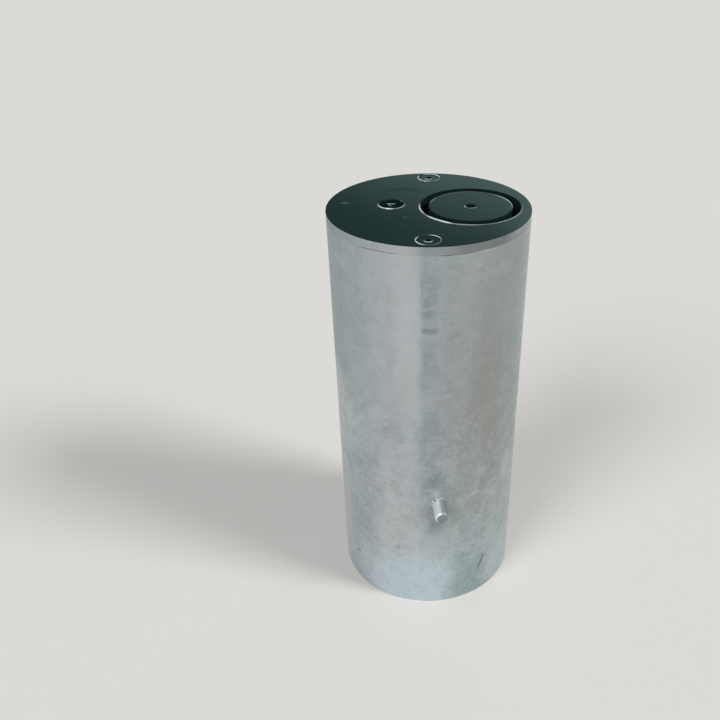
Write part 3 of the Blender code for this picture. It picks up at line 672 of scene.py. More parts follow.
@fills("bollard_sawn_end", ZINC)
def fill_sawn_end_and_shade(finish, colours):
    """A stud's sawn end, dull under a thin film of zinc, with saw marks across it, and darkened by painted
    shade.
    """
    marks = finish.clouds(60.0, 3.0, stretch=(0.4, 0.4, 12.0))
    mottle = finish.clouds(260.0, 4.0)
    tone = marks * 0.5 + mottle * 1.8 - 0.75
    base = finish.mix(tone, colours.zinc_shade, colours.zinc_dull_and_shade)
    base = finish.mix(0.40, base, colours.zinc_green)
    finish.surface(base, 0.48 + marks * 0.20, marks, 0.00012, 0.6)


@fills("bollard_cover_rim", ZINC)
def fill_cover_rim(finish, colours):
    """The cover's bare zinc rim, a little darker than the casing below it, with a few dark nicks."""
    base, tone = casing_colour(finish)
    nicks = (1.0 - finish.cells(60.0).rise(0.03, 0.07)) * finish.clouds(30.0, 2.0).rise(0.50, 0.60)
    turn = finish.azimuth()
    dull = turn.band(31.0, 10.0, 26.0) * 0.50 + turn.band(2.0, 4.0, 14.0) * 0.15
    dull += (1.0 - turn.rise(-68.0, -44.0)) * 0.13
    base = finish.mix(0.08 + dull + nicks * 0.45, base, colours.smudge_and_shadow)
    finish.surface(base, 0.40 + tone * 0.24, finish.clouds(200.0, 3.0, stretch=(1.0, 1.0, 0.2)), 0.00008)


@fills("bollard_dark_coat", COAT)
def fill_dark_coat(finish, colours):
    """The satin dark coat of the cover, the screws and the post's head: lighter towards the back and the
    post's side by dust and a painted sheen, with a few faint scuffs, a dark wipe behind the lock and specks
    of grit."""
    clouds = finish.clouds(30.0, 5.0, warp=0.4)
    grain = finish.clouds(420.0, 2.0)
    # Dust and painted sheen: lighter towards the back and the right, less on the post's head
    side = finish.x * 0.63 + finish.y * 0.75 + (clouds - 0.5) * 0.05
    head = (finish.x - POST_AXIS.x).hypotenuse(finish.y).band(0.0, 0.040, 0.042)
    right = finish.x.rise(0.055, 0.095) * 0.32
    dust = (side.rise(-0.075, 0.115) + right) * (0.72 + grain * 0.5) * (1.0 - head * 0.22)
    wipe = (finish.y + (clouds - 0.5) * 0.02).band(0.044, 0.001, 0.007)
    wipe *= finish.x.band(-0.027, 0.010, 0.030)
    base = finish.mix(dust * (1.0 - wipe * 0.5), colours.coat, colours.coat_dusty_and_sheen)
    marks = finish.clouds(70.0, 3.0, stretch=(0.25, 3.0, 1.0))
    scuffs = (finish.x + 0.080).hypotenuse((finish.y - 0.008) * 2.0).band(0.0, 0.002, 0.006)
    scuffs += (finish.x + 0.021).hypotenuse((finish.y + 0.0287) * 2.0).band(0.0, 0.001, 0.004)
    base = finish.mix(scuffs * marks.rise(0.45, 0.60) * 0.08, base, colours.bare_metal_and_highlight)
    specks = (1.0 - finish.cells(150.0).rise(0.05, 0.10)) * clouds.rise(0.54, 0.64)
    base = finish.mix(specks * 0.12, base, colours.bare_metal_and_highlight)
    finish.surface(base, 0.36 + clouds * 0.22, grain, 0.00005)


@fills("bollard_gap_wall", COAT)
def fill_gap_painted_shade(finish, colours):
    """Near-black painted shade on the walls of the gaps in the cover, in the sockets and the lifting hole
    and on the key's sides, with a faint mottle.
    """
    grime = finish.clouds(120.0, 4.0)
    base = finish.mix(grime * 0.15, colours.gap_painted_shade, colours.coat)
    finish.surface(base, 0.65 + grime * 0.25, grime, 0.00008)


@fills("bollard_worn_edge", {"Specular IOR Level": 0.03})
def fill_worn_and_glint_edge(finish, colours):
    """An edge where the dark coat is rubbed through to bare steel, with painted glints on it, as far as a
    mesh attribute says.
    """
    wear_and_glint = finish.attribute("rub") * (0.6 + finish.clouds(160.0, 4.0) * 0.8)
    finish.feed("Base Color", finish.mix(wear_and_glint, colours.coat, colours.bare_metal_and_highlight))
    finish.feed("Metallic", wear_and_glint * 0.25)
    finish.feed("Roughness", 0.46 - wear_and_glint * 0.08)


@fills("bollard_gasket_edge", ZINC)
def fill_gasket_edge(finish, colours):
    """The gasket's edge, smeared over with zinc so that only a broken hairline is left of the joint."""
    base, tone = casing_colour(finish)
    turn = finish.azimuth()
    middle_height = top_of("cover_gasket") - SEAT_GAP / 2
    across = finish.z + (tone - 0.5) * 0.0006 - middle_height
    hairline = across.band(0.0, 0.00018, 0.00042)
    broken = finish.clouds(30.0, 4.0, shift=(0.3, 0.6, 0.1)).rise(0.36, 0.58)
    open_at = turn.band(-23.0, 11.0, 20.0) + turn.band(16.0, 5.0, 13.0)
    strength = 0.10 + broken * 0.16 + open_at * broken * 0.55
    base = finish.mix(hairline * strength, base, colours.rubber)
    finish.surface(base, 0.40 + tone * 0.24, finish.clouds(140.0, 4.0), 0.00008)


@fills("bollard_machined_steel", {"Metallic": 1.0})
def fill_machined_steel(finish, colours):
    """Turned steel with fine tool marks."""
    rings = finish.clouds(60.0, 3.0, stretch=(1.0, 1.0, 30.0))
    clouds = finish.clouds(60.0, 4.0)
    base = finish.mix(clouds.rise(0.40, 0.75) * 0.6, colours.steel, colours.smudge_and_shadow)
    finish.surface(base, 0.24 + rings * 0.22, rings, 0.00005)


@fills("bollard_zinc_plate", {"Metallic": 1.0})
def fill_zinc_plate(finish, colours):
    """Bright zinc plating with a faint yellow bloom."""
    bloom = finish.clouds(48.0, 5.0, warp=0.8)
    base = finish.mix(bloom.rise(0.42, 0.70) * 0.5, colours.zinc_plate, colours.steel)
    finish.surface(base, 0.26 + bloom * 0.24, finish.clouds(300.0, 3.0), 0.00005, 0.4)


@fills("bollard_rubber", {"Metallic": 0.0, "Specular IOR Level": 0.25})
def fill_rubber(finish, colours):
    """Black moulded rubber with a dusty bloom."""
    dust = finish.clouds(80.0, 5.0)
    base = finish.mix(dust.rise(0.52, 0.78) * 0.3, colours.rubber, colours.smudge_and_shadow)
    finish.surface(base, 0.62 + dust * 0.26, finish.clouds(500.0, 3.0), 0.00008, 0.6)


@fills("bollard_bearing_plastic", {"Metallic": 0.0})
def fill_bearing_plastic(finish, colours):
    """Natural bearing plastic, rubbed along its axis."""
    rubs = finish.clouds(90.0, 4.0, stretch=(1.0, 1.0, 0.06))
    base = finish.mix(rubs.rise(0.50, 0.75) * 0.35, colours.plastic, colours.zinc_warm_and_reflection)
    finish.surface(base, 0.42 + rubs * 0.20, rubs, 0.00005)


@fills("stage_floor", {"Roughness": 0.9, "Specular IOR Level": 0.1})
def fill_floor(finish, colours):
    clouds = finish.clouds(3.0, 3.0)
    finish.feed("Base Color", finish.mix(clouds * 0.10, colours.floor, colours.floor_shade))


# Shapes

def clean(shape):
    bmesh.ops.remove_doubles(shape, verts=shape.verts, dist=MERGE_DISTANCE)
    bmesh.ops.recalc_face_normals(shape, faces=shape.faces)


def turned(profile, steps):
    """A ring turned about Z from a closed profile of (radius, height) points. One that starts and ends on
    the axis stays open there."""
    shape = bmesh.new()
    points = [shape.verts.new((radius, 0.0, height)) for radius, height in profile]
    edges = [shape.edges.new(pair) for pair in zip(points, points[1:])]
    if profile[0][0] > 0.0 or profile[-1][0] > 0.0:
        edges.append(shape.edges.new((points[-1], points[0])))
    bmesh.ops.spin(
        shape,
        geom=points + edges,
        cent=(0, 0, 0),
        axis=(0, 0, 1),
        angle=math.tau,
        steps=steps,
        use_merge=True,
    )
    clean(shape)
    return shape


def corner(radius, height, width, outward):
    """Points of an edge rounded by width, from a flat top down to the wall at a radius. The wall faces
    outward, or inward round a hole."""
    side = 1.0 if outward else -1.0
    angles = [QUARTER * step / EDGE_STEPS for step in range(EDGE_STEPS + 1)]
    return [
        (radius - side * width * (1.0 - math.sin(a)), height - width * (1.0 - math.cos(a))) for a in angles
    ]


def lip(radius, height, width, proud):
    """Points of a raised lip round a hole, from the flat outside over its crest to the hole's wall."""
    steps = 2 * EDGE_STEPS
    angles = [math.pi * step / steps for step in range(steps + 1)]
    crest = radius + width / 2
    return [(crest + width / 2 * math.cos(a), height + proud * math.sin(a)) for a in angles]


def upturned(points, low):
    """The same rounding at the lower end of a wall, in the order that goes on down the wall."""
    high = points[0][1]
    return [(radius, low + high - height) for radius, height in reversed(points)]


def grooved(node, radius, depth):
    """Points down a wall at a radius, into and out of the groove that holds a node."""
    top = top_of(node) + SEAT_GAP
    bottom = bottom_of(node) - SEAT_GAP
    return [(radius, top), (radius - depth, top), (radius - depth, bottom), (radius, bottom)]


def drawn_loop(shape, centre, sides, profile, first_angle=0.0):
    """A loop of edges drawn on through (radius, height) points. Returns the first and the last loop."""
    start_radius, start_height = profile[0]
    place = Matrix.Translation((centre.x, centre.y, start_height)) @ Matrix.Rotation(first_angle, 4, "Z")
    made = bmesh.ops.create_circle(shape, radius=start_radius, segments=sides, matrix=place)["verts"]
    first = list({edge for vert in made for edge in vert.link_edges})
    loop = first
    radius, height = start_radius, start_height
    for new_radius, new_height in profile[1:]:
        geometry = bmesh.ops.extrude_edge_only(shape, edges=loop)["geom"]
        verts = {item for item in geometry if isinstance(item, bmesh.types.BMVert)}
        loop = [
            item
            for item in geometry
            if isinstance(item, bmesh.types.BMEdge) and all(vert in verts for vert in item.verts)
        ]
        scale = Matrix.Diagonal((new_radius / radius, new_radius / radius, 1.0, 1.0))
        about = Matrix.Translation((-centre.x, -centre.y, 0.0))
        bmesh.ops.transform(shape, matrix=scale, space=about, verts=list(verts))
        bmesh.ops.translate(shape, verts=list(verts), vec=(0, 0, new_height - height))
        radius, height = new_radius, new_height
    return first, loop


def filled(shape, edges):
    """Fills the flat region between loops of edges."""
    bmesh.ops.triangle_fill(shape, edges=edges, use_beauty=True, use_dissolve=False, normal=(0, 0, 1))


def rounded_edges(shape, edges, width, segments=3):
    bmesh.ops.bevel(
        shape,
        geom=edges,
        offset=width,
        offset_type="OFFSET",
        segments=segments,
        profile=0.5,
        affect="EDGES",
        clamp_overlap=True,
        material=-1,
    )


def corner_edges(shape):
    return [edge for edge in shape.edges if edge.is_manifold and edge.calc_face_angle() > CORNER_ANGLE]


def moved(shape, matrix):
    bmesh.ops.transform(shape, matrix=matrix, verts=shape.verts)
    return shape


def add_piece(name, shape, finishes, body, nodes):
    """Makes an object of a shape, which rides on a body and stands for CAD nodes."""
    mesh = bpy.data.meshes.new(name)
    shape.to_mesh(mesh)
    shape.free()
    mesh.shade_smooth()
    mesh.set_sharp_from_angle(angle=SHARP_ANGLE)
    for finish in finishes:
        mesh.materials.append(finish_named(finish))
    piece = bpy.data.objects.new(name, mesh)
    bpy.context.scene.collection.objects.link(piece)
    weighted = piece.modifiers.new("weighted_normals", "WEIGHTED_NORMAL")
    weighted.keep_sharp = True
    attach(piece, body)
    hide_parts(*nodes)


def apart(place, axis):
    """How far a place lies from an upright axis."""
    return (place.xy - axis.xy).length


def stretch_of(place, centre, middle_angle, reach):
    """1 where a place lies at an angle from a centre, and 0 beyond reach of it. In degrees, from +X
    towards the viewer."""
    angle = math.degrees(math.atan2(centre.y - place.y, place.x - centre.x))
    off = abs((angle - middle_angle + 180.0) % 360.0 - 180.0) / reach
    return 0.5 + 0.5 * math.cos(math.pi * min(off, 1.0))


def wear_and_glint_at(place, centre, stretches):
    """How far the coat is rubbed off at a place on a round edge, and how strong a painted glint is there."""
    return max(amount * stretch_of(place, centre, angle, reach) for angle, reach, amount in stretches)


def rub(shape, amount):
    """Says in an attribute how far the coat is rubbed off at each point, and how strong a painted glint is
    there.
    """
    layer = shape.verts.layers.float.new("rub")
    for vert in shape.verts:
        vert[layer] = amount(vert.co)


def paint(shape, index, wanted):
    """Gives a material index to the faces whose middle is wanted."""
    for face in shape.faces:
        if wanted(face.calc_center_median(), face.normal):
            face.material_index = index


# Where the coat is rubbed off round edges, and where glints are painted on them: (middle angle, reach to
# either side, how far), in degrees from +X towards the viewer
HOLE_WEAR_AND_GLINT = ((130, 27, 1.60), (167, 26, 0.80), (40, 62, 0.28), (100, 42, 0.34))
RECESS_WEAR_AND_GLINT = ((100, 38, 0.90), (138, 58, 0.78), (40, 66, 0.34), (320, 14, 0.16))
HEAD_WEAR_AND_GLINT = ((335, 48, 0.48), (203, 22, 0.20), (262, 90, 0.10))
LIFTING_WEAR_AND_GLINT = ((155, 66, 0.38), (80, 90, 0.40))
SCREW_WEAR_AND_GLINT = {
    "front": ((142, 58, 1.00), (193, 40, 0.70), (312, 60, 0.90), (0, 180, 0.18)),
    "rear": ((162, 58, 1.90), (110, 50, 0.80), (322, 64, 1.10), (270, 50, 0.66), (45, 50, 0.30)),
}
SOCKET_WEAR_AND_GLINT = ((90, 100, 0.95),)
KEY_WEAR = ((270, 180, 0.56), (90, 60, 0.12))

# How high a lip stands where its coat is whole, and how much higher where it is rubbed and glints are
# painted, as shares
LEAST_BURR = 0.75
BURR_BY_WEAR_AND_GLINT = 0.75

# Pieces

class BollardOperator(bpy.types.Operator):
    """What the bollard's operators share."""

    bl_options = {"REGISTER", "UNDO"}


class BOLLARD_OT_casing(BollardOperator):
    """Makes the casing tube with rounded ends"""

    bl_idname = "bollard.casing"
    bl_label = "Casing"

    def execute(self, context):
        sizes = context.scene.bollard_sizes
        top = top_of("casing_tube")
        outer = corner(CASING_RADIUS, top, sizes.casing_edge, True)
        inner = corner(CASING_BORE, top, sizes.casing_edge, False)
        profile = outer + upturned(outer, 0.0) + list(reversed(upturned(inner, 0.0))) + list(reversed(inner))
        shape = turned(profile, LARGE_STEPS)
        add_piece(
            "casing_shell", shape, ["bollard_galvanised_casing"], "casing", ["casing_tube"]
        )
        return {"FINISHED"}


class BOLLARD_OT_cover(BollardOperator):
    """Makes the cover plate with its drilled holes, rubbed edges with painted glints, painted shade on its
    hole walls and bare rim
    """

    bl_idname = "bollard.cover"
    bl_label = "Cover"

    def execute(self, context):
        sizes = context.scene.bollard_sizes
        top = top_of("cover_plate")
        bottom = bottom_of("cover_plate")
        origin = Vector((0.0, 0.0, 0.0))
        rim = corner(CASING_RADIUS, top, sizes.cover_edge, True) + [(CASING_RADIUS, bottom)]
        lipped_holes = (
            (POST_AXIS, GUIDE_BORE + HOLE_STEP, MIDDLE_STEPS),
            (LOCK_AXIS, sizes.recess_radius, SMALL_STEPS),
        )
        shape = bmesh.new()
        loops = [drawn_loop(shape, origin, LARGE_STEPS, rim)]
        for centre, radius, steps in lipped_holes:
            wall = lip(radius, top, sizes.lip_width, sizes.lip_height) + [(radius, bottom)]
            loops.append(drawn_loop(shape, centre, steps, wall))
        mouth = radius_of("cover_screw_front") + SCREW_GAP
        hole = sizes.screw_radius + SCREW_GAP
        sink = lip(mouth, top, sizes.sink_lip, sizes.sink_proud)
        cone_top = top - sizes.sink_land
        sink += [(mouth, cone_top), (hole, cone_top - (mouth - hole)), (hole, bottom)]
        screws = {end: middle("cover_screw_" + end) for end in SCREW_WEAR_AND_GLINT}
        for centre in screws.values():
            loops.append(drawn_loop(shape, centre, SMALL_STEPS, sink))
        filled(shape, [edge for first, last in loops for edge in first])
        filled(shape, [edge for first, last in loops for edge in last])
        clean(shape)

        def rub_and_glint_amount(place):
            if apart(place, POST_AXIS) < GUIDE_BORE + 2 * sizes.lip_width:
                return wear_and_glint_at(place, POST_AXIS, HOLE_WEAR_AND_GLINT)
            for end, centre in screws.items():
                if apart(place, centre) < mouth + 2 * sizes.sink_lip:
                    return wear_and_glint_at(place, centre, SCREW_WEAR_AND_GLINT[end])
            return wear_and_glint_at(place, LOCK_AXIS, RECESS_WEAR_AND_GLINT)

        for vert in shape.verts:
            if vert.co.z > top + MERGE_DISTANCE:
                vert.co.z = top + (vert.co.z - top) * (LEAST_BURR + BURR_BY_WEAR_AND_GLINT * rub_and_glint_amount(vert.co))

        # Bare steel on the lips: rubbing and painted glints
        paint(shape, 1, lambda place, facing: place.z > top + MERGE_DISTANCE)
        rub(shape, rub_and_glint_amount)
        limit = CASING_RADIUS * math.cos(math.pi / LARGE_STEPS) - MERGE_DISTANCE
        paint(shape, 2, lambda place, facing: place.xy.length > limit)
        # Painted shade: the walls of the holes near-black
        paint(
            shape,
            3,
            lambda place, facing: abs(facing.z) < UPRIGHT
            and place.z < top - MERGE_DISTANCE
            and place.xy.length < CASING_RADIUS - sizes.cover_edge,
        )
        add_piece(
            "flush_cover",
            shape,
            ["bollard_dark_coat", "bollard_worn_edge", "bollard_cover_rim", "bollard_gap_wall"],
            "casing",
            ["cover_plate"],
        )
        return {"FINISHED"}


class BOLLARD_OT_gasket(BollardOperator):
    """Makes the gasket that fills the joint under the cover's rim"""

    bl_idname = "bollard.gasket"
    bl_label = "Gasket"

    def execute(self, context):
        low = top_of("casing_tube")
        high = bottom_of("cover_plate")
        radius = CASING_RADIUS - MERGE_DISTANCE
        inner = CASING_BORE + SEAT_GAP
        shape = turned([(radius, high), (radius, low), (inner, low), (inner, high)], LARGE_STEPS)
        add_piece("rim_gasket", shape, ["bollard_gasket_edge"], "casing", ["cover_gasket"])
        return {"FINISHED"}


class BOLLARD_OT_cover_screws(BollardOperator):
    """Makes the two countersunk screws with hexagon sockets"""

    bl_idname = "bollard.cover_screws"
    bl_label = "Cover screws"

    def execute(self, context):
        sizes = context.scene.bollard_sizes
        for end in ("front", "rear"):
            node = "cover_screw_" + end
            low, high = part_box(node)
            centre = middle(node)
            head = radius_of(node)
            cone_top = high.z - sizes.screw_edge - SEAT_GAP
            tip = sizes.screw_radius - 2 * sizes.screw_edge
            outline = corner(head, high.z, sizes.screw_edge, True)
            outline += [(head, cone_top), (sizes.screw_radius, cone_top - (head - sizes.screw_radius))]
            outline += [(sizes.screw_radius, low.z + 2 * sizes.screw_edge), (tip, low.z)]
            across = sizes.socket_flats / math.sqrt(3)
            floor = high.z - sizes.socket_depth
            mouth = across + sizes.socket_ring
            socket = [(mouth, high.z), (across, high.z), (across, floor), (across / 4, floor - across / 3)]
            shape = bmesh.new()
            outer = drawn_loop(shape, centre, SMALL_STEPS, outline)
            inner = drawn_loop(shape, centre, 6, socket, QUARTER)
            filled(shape, outer[0] + inner[0])
            filled(shape, outer[1])
            filled(shape, inner[1])
            clean(shape)
            edge_depth = high.z - sizes.screw_edge
            face_depth = high.z - MERGE_DISTANCE
            paint(shape, 1, lambda place, facing: apart(place, centre) < mouth)
            paint(shape, 2, lambda place, facing: place.z <= edge_depth and apart(place, centre) > across)
            # Painted shade in the hexagon socket
            paint(shape, 3, lambda place, facing: place.z < face_depth and apart(place, centre) < across)
            # Painted glint: bare steel on the socket's near rim
            rub(shape, lambda place: wear_and_glint_at(place, centre, SOCKET_WEAR_AND_GLINT))
            add_piece(
                "cover_bolt_" + end,
                shape,
                ["bollard_dark_coat", "bollard_worn_edge", "bollard_machined_steel", "bollard_gap_wall"],
                "casing",
                [node],
            )
        return {"FINISHED"}


class BOLLARD_OT_post_head(BollardOperator):
    """Makes the post's head with its rubbed rim and painted glints, and its tapped lifting hole with painted
    shade in it
    """

    bl_idname = "bollard.post_head"
    bl_label = "Post head"

    def execute(self, context):
        sizes = context.scene.bollard_sizes
        low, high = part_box("post_cap")
        radius = radius_of("post_cap")
        spigot = radius_of("post_tube") - sizes.post_wall - SEAT_GAP
        shoulder = high.z - sizes.cap_thickness
        hole = sizes.lifting_radius
        mouth = sizes.lifting_mouth
        dish = high.z - sizes.cap_dish
        rim = radius - sizes.cap_rim
        ring = mouth + sizes.lifting_ring
        profile = [(mouth, dish), (ring, dish), (rim, dish), (rim + sizes.cap_dish / 2, high.z)]
        profile += corner(radius, high.z, sizes.cap_edge, True)
        profile += [(radius, shoulder), (spigot, shoulder), (spigot, low.z), (hole, low.z)]
        thread_top = dish - (mouth - hole)
        turns = int((thread_top - low.z) / sizes.thread_pitch) - 1
        for turn in range(turns):
            height = low.z + sizes.thread_pitch * (turn + 0.75)
            profile.append((hole, height))
            profile.append((hole + sizes.thread_depth, height + sizes.thread_pitch / 2))
        profile.append((hole, thread_top))
        shape = moved(turned(profile, MIDDLE_STEPS), Matrix.Translation(POST_AXIS))

        def on_worn_and_glint_edge(place, facing):
            away = apart(place, POST_AXIS)
            on_rim = away > rim and place.z > dish + MERGE_DISTANCE and facing.z > RIM_RISE
            return on_rim or place.z > thread_top and away < ring

        def rub_and_glint_amount(place):
            if apart(place, POST_AXIS) < rim - sizes.cap_rim:
                return wear_and_glint_at(place, POST_AXIS, LIFTING_WEAR_AND_GLINT)
            return wear_and_glint_at(place, POST_AXIS, HEAD_WEAR_AND_GLINT)

        # Painted shade on the head's sides and in its lifting hole
        paint(shape, 2, lambda place, facing: place.z < dish and abs(facing.z) < UPRIGHT)
        paint(shape, 1, on_worn_and_glint_edge)
        rub(shape, rub_and_glint_amount)
        add_piece(
            "post_head",
            shape,
            ["bollard_dark_coat", "bollard_worn_edge", "bollard_gap_wall"],
            "post",
            ["post_cap"],
        )
        return {"FINISHED"}


class BOLLARD_OT_post_tube(BollardOperator):
    """Makes the post's tube with its two lock slots and its clip grooves"""

    bl_idname = "bollard.post_tube"
    bl_label = "Post tube"

    def execute(self, context):
        sizes = context.scene.bollard_sizes
        low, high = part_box("post_tube")
        outer = radius_of("post_tube")
        inner = outer - sizes.post_wall
        tongue = middle("lock_tongue").z
        slots = [tongue, tongue - POST_TRAVEL]
        levels = [slot + side * sizes.slot_height / 2 for slot in slots for side in (1.0, -1.0)]
        wall = [(outer, level) for level in levels]
        for clip in ("bush_clip_upper", "bush_clip_lower"):
            wall += grooved(clip, outer, sizes.groove_depth)
        profile = [(outer, high.z)] + wall + [(outer, low.z), (inner, low.z)]
        profile += [(inner, level) for level in reversed(levels)] + [(inner, high.z)]
        shape = moved(turned(profile, MIDDLE_STEPS), Matrix.Translation(POST_AXIS))
        towards = (LOCK_AXIS - POST_AXIS).xy.normalized()
        reach = radius_of_swing()
        for slot in slots:
            cut = []
            for face in shape.faces:
                place = face.calc_center_median()
                level = abs(place.z - slot) < sizes.slot_height / 2
                if level and apart(place, LOCK_AXIS) < reach and abs(face.normal.z) < UPRIGHT:
                    cut.append(face)
            bmesh.ops.delete(shape, geom=cut, context="FACES")
            rims = [edge for edge in shape.edges if edge.is_boundary]
            bmesh.ops.bridge_loops(shape, edges=rims)
        clean(shape)
        near_slot = []
        for edge in corner_edges(shape):
            place = (edge.verts[0].co + edge.verts[1].co) / 2
            facing = (edge.verts[0].co - POST_AXIS).xy.normalized()
            level = any(abs(place.z - slot) < sizes.slot_height for slot in slots)
            if level and facing.dot(towards) > SLOT_SIDE:
                near_slot.append(edge)
        rounded_edges(shape, near_slot, sizes.slot_edge, 2)
        add_piece("lifting_post", shape, ["bollard_galvanised_post"], "post", ["post_tube"])
        return {"FINISHED"}


def radius_of_swing():
    """How far from the lock's axis the post's slots reach, a little past the tongue's tip."""
    return LOCK_AXIS.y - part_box("lock_tongue")[0].y + SWING_GAP


# Pits in a stud's weld, as (angle round the stud, height up it, size)
WELD_PITS = (
    (2.30, 0.0016, 0.0021),
    (2.95, 0.0012, 0.0013),
    (1.75, 0.0008, 0.0009),
)
# How a weld spreads, swells and pits, and on which flank of a stud a highlight is painted, with painted
# shade on the other
WELD_RINGS = 14
WELD_SPREAD = 0.5
WELD_SPREAD_SCALE = 1.7
WELD_LUMP_SCALE = 500.0
PIT_DEPTH = 0.7
PIT_DARKNESS = 1.8
PAINTED_LIGHT_FLANK = Vector((math.cos(2.75), math.sin(2.75)))
PAINTED_FLANK_FADE = 0.7
# Share of the rounding at a stud's end that is sawn too, and darkened with painted shade
SAWN_SHARE = 0.1


class BOLLARD_OT_anchor_studs(BollardOperator):
    """Makes the two studs with lumpy, pitted welds that follow the casing's wall"""

    bl_idname = "bollard.anchor_studs"
    bl_label = "Anchor studs"

    def execute(self, context):
        sizes = context.scene.bollard_sizes
        for end, turn in (("front", 0.0), ("rear", math.pi)):
            shape = self.stud(sizes, turn)
            node = "anchor_stud_" + end
            finishes = ["bollard_galvanised_weld", "bollard_sawn_end"]
            add_piece("concrete_anchor_" + end, shape, finishes, "casing", [node])
        return {"FINISHED"}

    def stud(self, sizes, turn):
        radius = sizes.stud_radius
        end = corner(radius, sizes.stud_length, sizes.stud_edge, True)
        profile = [(0.0, sizes.stud_length)] + end + [(radius, sizes.weld_height + sizes.weld_lumps)]
        for ring in range(WELD_RINGS + 1):
            share = ring / WELD_RINGS
            profile.append((radius + sizes.weld_reach * share, sizes.weld_height * (1.0 - share) ** 2))
        profile += [(radius, -SEAT_GAP), (0.0, -SEAT_GAP)]
        shape = turned(profile, SMALL_STEPS)
        paint(shape, 1, lambda place, facing: place.z > sizes.stud_length - sizes.stud_edge * SAWN_SHARE)
        self.lump(shape, sizes, turn)
        azimuth = STUD_AZIMUTH + turn
        wall = CASING_RADIUS + SEAT_GAP / 3
        place = Matrix.Translation((wall * math.sin(azimuth), -wall * math.cos(azimuth), STUD_MIDDLE.z))
        moved(shape, place @ Matrix.Rotation(azimuth, 4, "Z") @ Matrix.Rotation(QUARTER, 4, "X"))
        return shape

    def lump(self, shape, sizes, turn):
        """Swells and pits the weld, and lays its root on the casing's round wall."""
        depth = shape.verts.layers.float.new("pits")
        flank = shape.verts.layers.float.new("flank")
        shift = Vector((turn, 0.0, 0.0))
        for vert in shape.verts:
            if vert.co.xy.length > sizes.stud_radius / 2:
                # Painted light: how far each point faces the flank that is painted lit
                vert[flank] = vert.co.xy.normalized().dot(PAINTED_LIGHT_FLANK)
            around = vert.co.xy.length
            share = (around - sizes.stud_radius) / sizes.weld_reach
            if share < -MERGE_DISTANCE or not 0.0 <= vert.co.z <= sizes.weld_height + MERGE_DISTANCE:
                continue
            outward = vert.co.xy.normalized()
            vert[flank] *= 1.0 - PAINTED_FLANK_FADE * share
            spread = 1.0 + WELD_SPREAD * noise.noise(outward.to_3d() * WELD_SPREAD_SCALE + shift)
            lumps = noise.noise(vert.co * WELD_LUMP_SCALE + shift)
            vert.co.xy = outward * (sizes.stud_radius + sizes.weld_reach * share * spread)
            vert.co.z += sizes.weld_lumps * lumps * 4.0 * share * (1.0 - share)
            for angle, height, size in WELD_PITS:
                pit = Vector((math.cos(angle) * around, math.sin(angle) * around, height))
                closeness = max(0.0, 1.0 - (vert.co - pit).length / size)
                vert.co.xy -= outward * closeness * size * PIT_DEPTH
                vert[depth] = max(vert[depth], min(1.0, closeness * PIT_DARKNESS))
        for vert in shape.verts:
            fade = max(0.0, 1.0 - max(0.0, vert.co.z) / sizes.weld_height)
            vert.co.z -= fade * (CASING_RADIUS - math.sqrt(CASING_RADIUS**2 - vert.co.x**2))


class BOLLARD_OT_key_spindle(BollardOperator):
    """Makes the lock's spindle with the triangle that a key turns"""

    bl_idname = "bollard.key_spindle"
    bl_label = "Key spindle"

    def execute(self, context):
        sizes = context.scene.bollard_sizes
        low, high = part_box("lock_spindle")
        radius = sizes.spindle_radius
        shaft_top = top_of("spindle_clip") + 2 * SEAT_GAP
        tongue_top = top_of("lock_tongue")
        housing_bottom = bottom_of("lock_housing")
        square = sizes.tail_flats / math.sqrt(2)
        shaft = corner(radius, shaft_top, sizes.spindle_edge, True)
        shaft += grooved("spindle_clip", radius, sizes.clip_groove)
        shaft += grooved("spindle_seal", radius, sizes.seal_groove)
        shoulder = radius_of("lock_spindle")
        shaft += [(radius, housing_bottom - SEAT_GAP), (shoulder, housing_bottom - SEAT_GAP)]
        shaft += [(shoulder, tongue_top + SEAT_GAP)]
        across = sizes.triangle_side / math.sqrt(3)
        edge = sizes.triangle_edge
        flat = across - 2 * edge
        band = flat - 2 * sizes.triangle_band
        key = [(across, shaft_top), (across, high.z - edge), (flat, high.z), (band, high.z)]
        tail = [(square, tongue_top + SEAT_GAP), (square, low.z)]
        shape = bmesh.new()
        body = drawn_loop(shape, LOCK_AXIS, SMALL_STEPS, shaft)
        triangle = drawn_loop(shape, LOCK_AXIS, 3, key, 2 * QUARTER)
        end = drawn_loop(shape, LOCK_AXIS, 4, tail, QUARTER / 2)
        filled(shape, body[0] + triangle[0])
        filled(shape, body[1] + end[0])
        filled(shape, triangle[1])
        filled(shape, end[1])
        clean(shape)

        def is_upright(item):
            first, second = (vert.co.z for vert in item.verts)
            return abs(first - second) > edge * 2 and first > shaft_top - SEAT_GAP

        rounded_edges(shape, [item for item in corner_edges(shape) if is_upright(item)], edge * 2)
        clean(shape)
        middle_of_band = band / 2 + sizes.triangle_band / 4
        foot = shaft_top + MERGE_DISTANCE
        face = high.z - MERGE_DISTANCE

        def on_band(place, facing):
            away = place - LOCK_AXIS
            return place.z > face and away.xy.length > middle_of_band and away.x < away.y

        paint(shape, 1, lambda place, facing: place.z > face)
        paint(shape, 2, on_band)
        # Painted shade on the triangle's sides
        paint(shape, 3, lambda place, facing: foot < place.z < face)
        rub(shape, lambda place: wear_and_glint_at(place, LOCK_AXIS, KEY_WEAR))
        add_piece(
            "key_spindle",
            shape,
            ["bollard_machined_steel", "bollard_dark_coat", "bollard_worn_edge", "bollard_gap_wall"],
            "lock",
            ["lock_spindle"],
        )
        return {"FINISHED"}


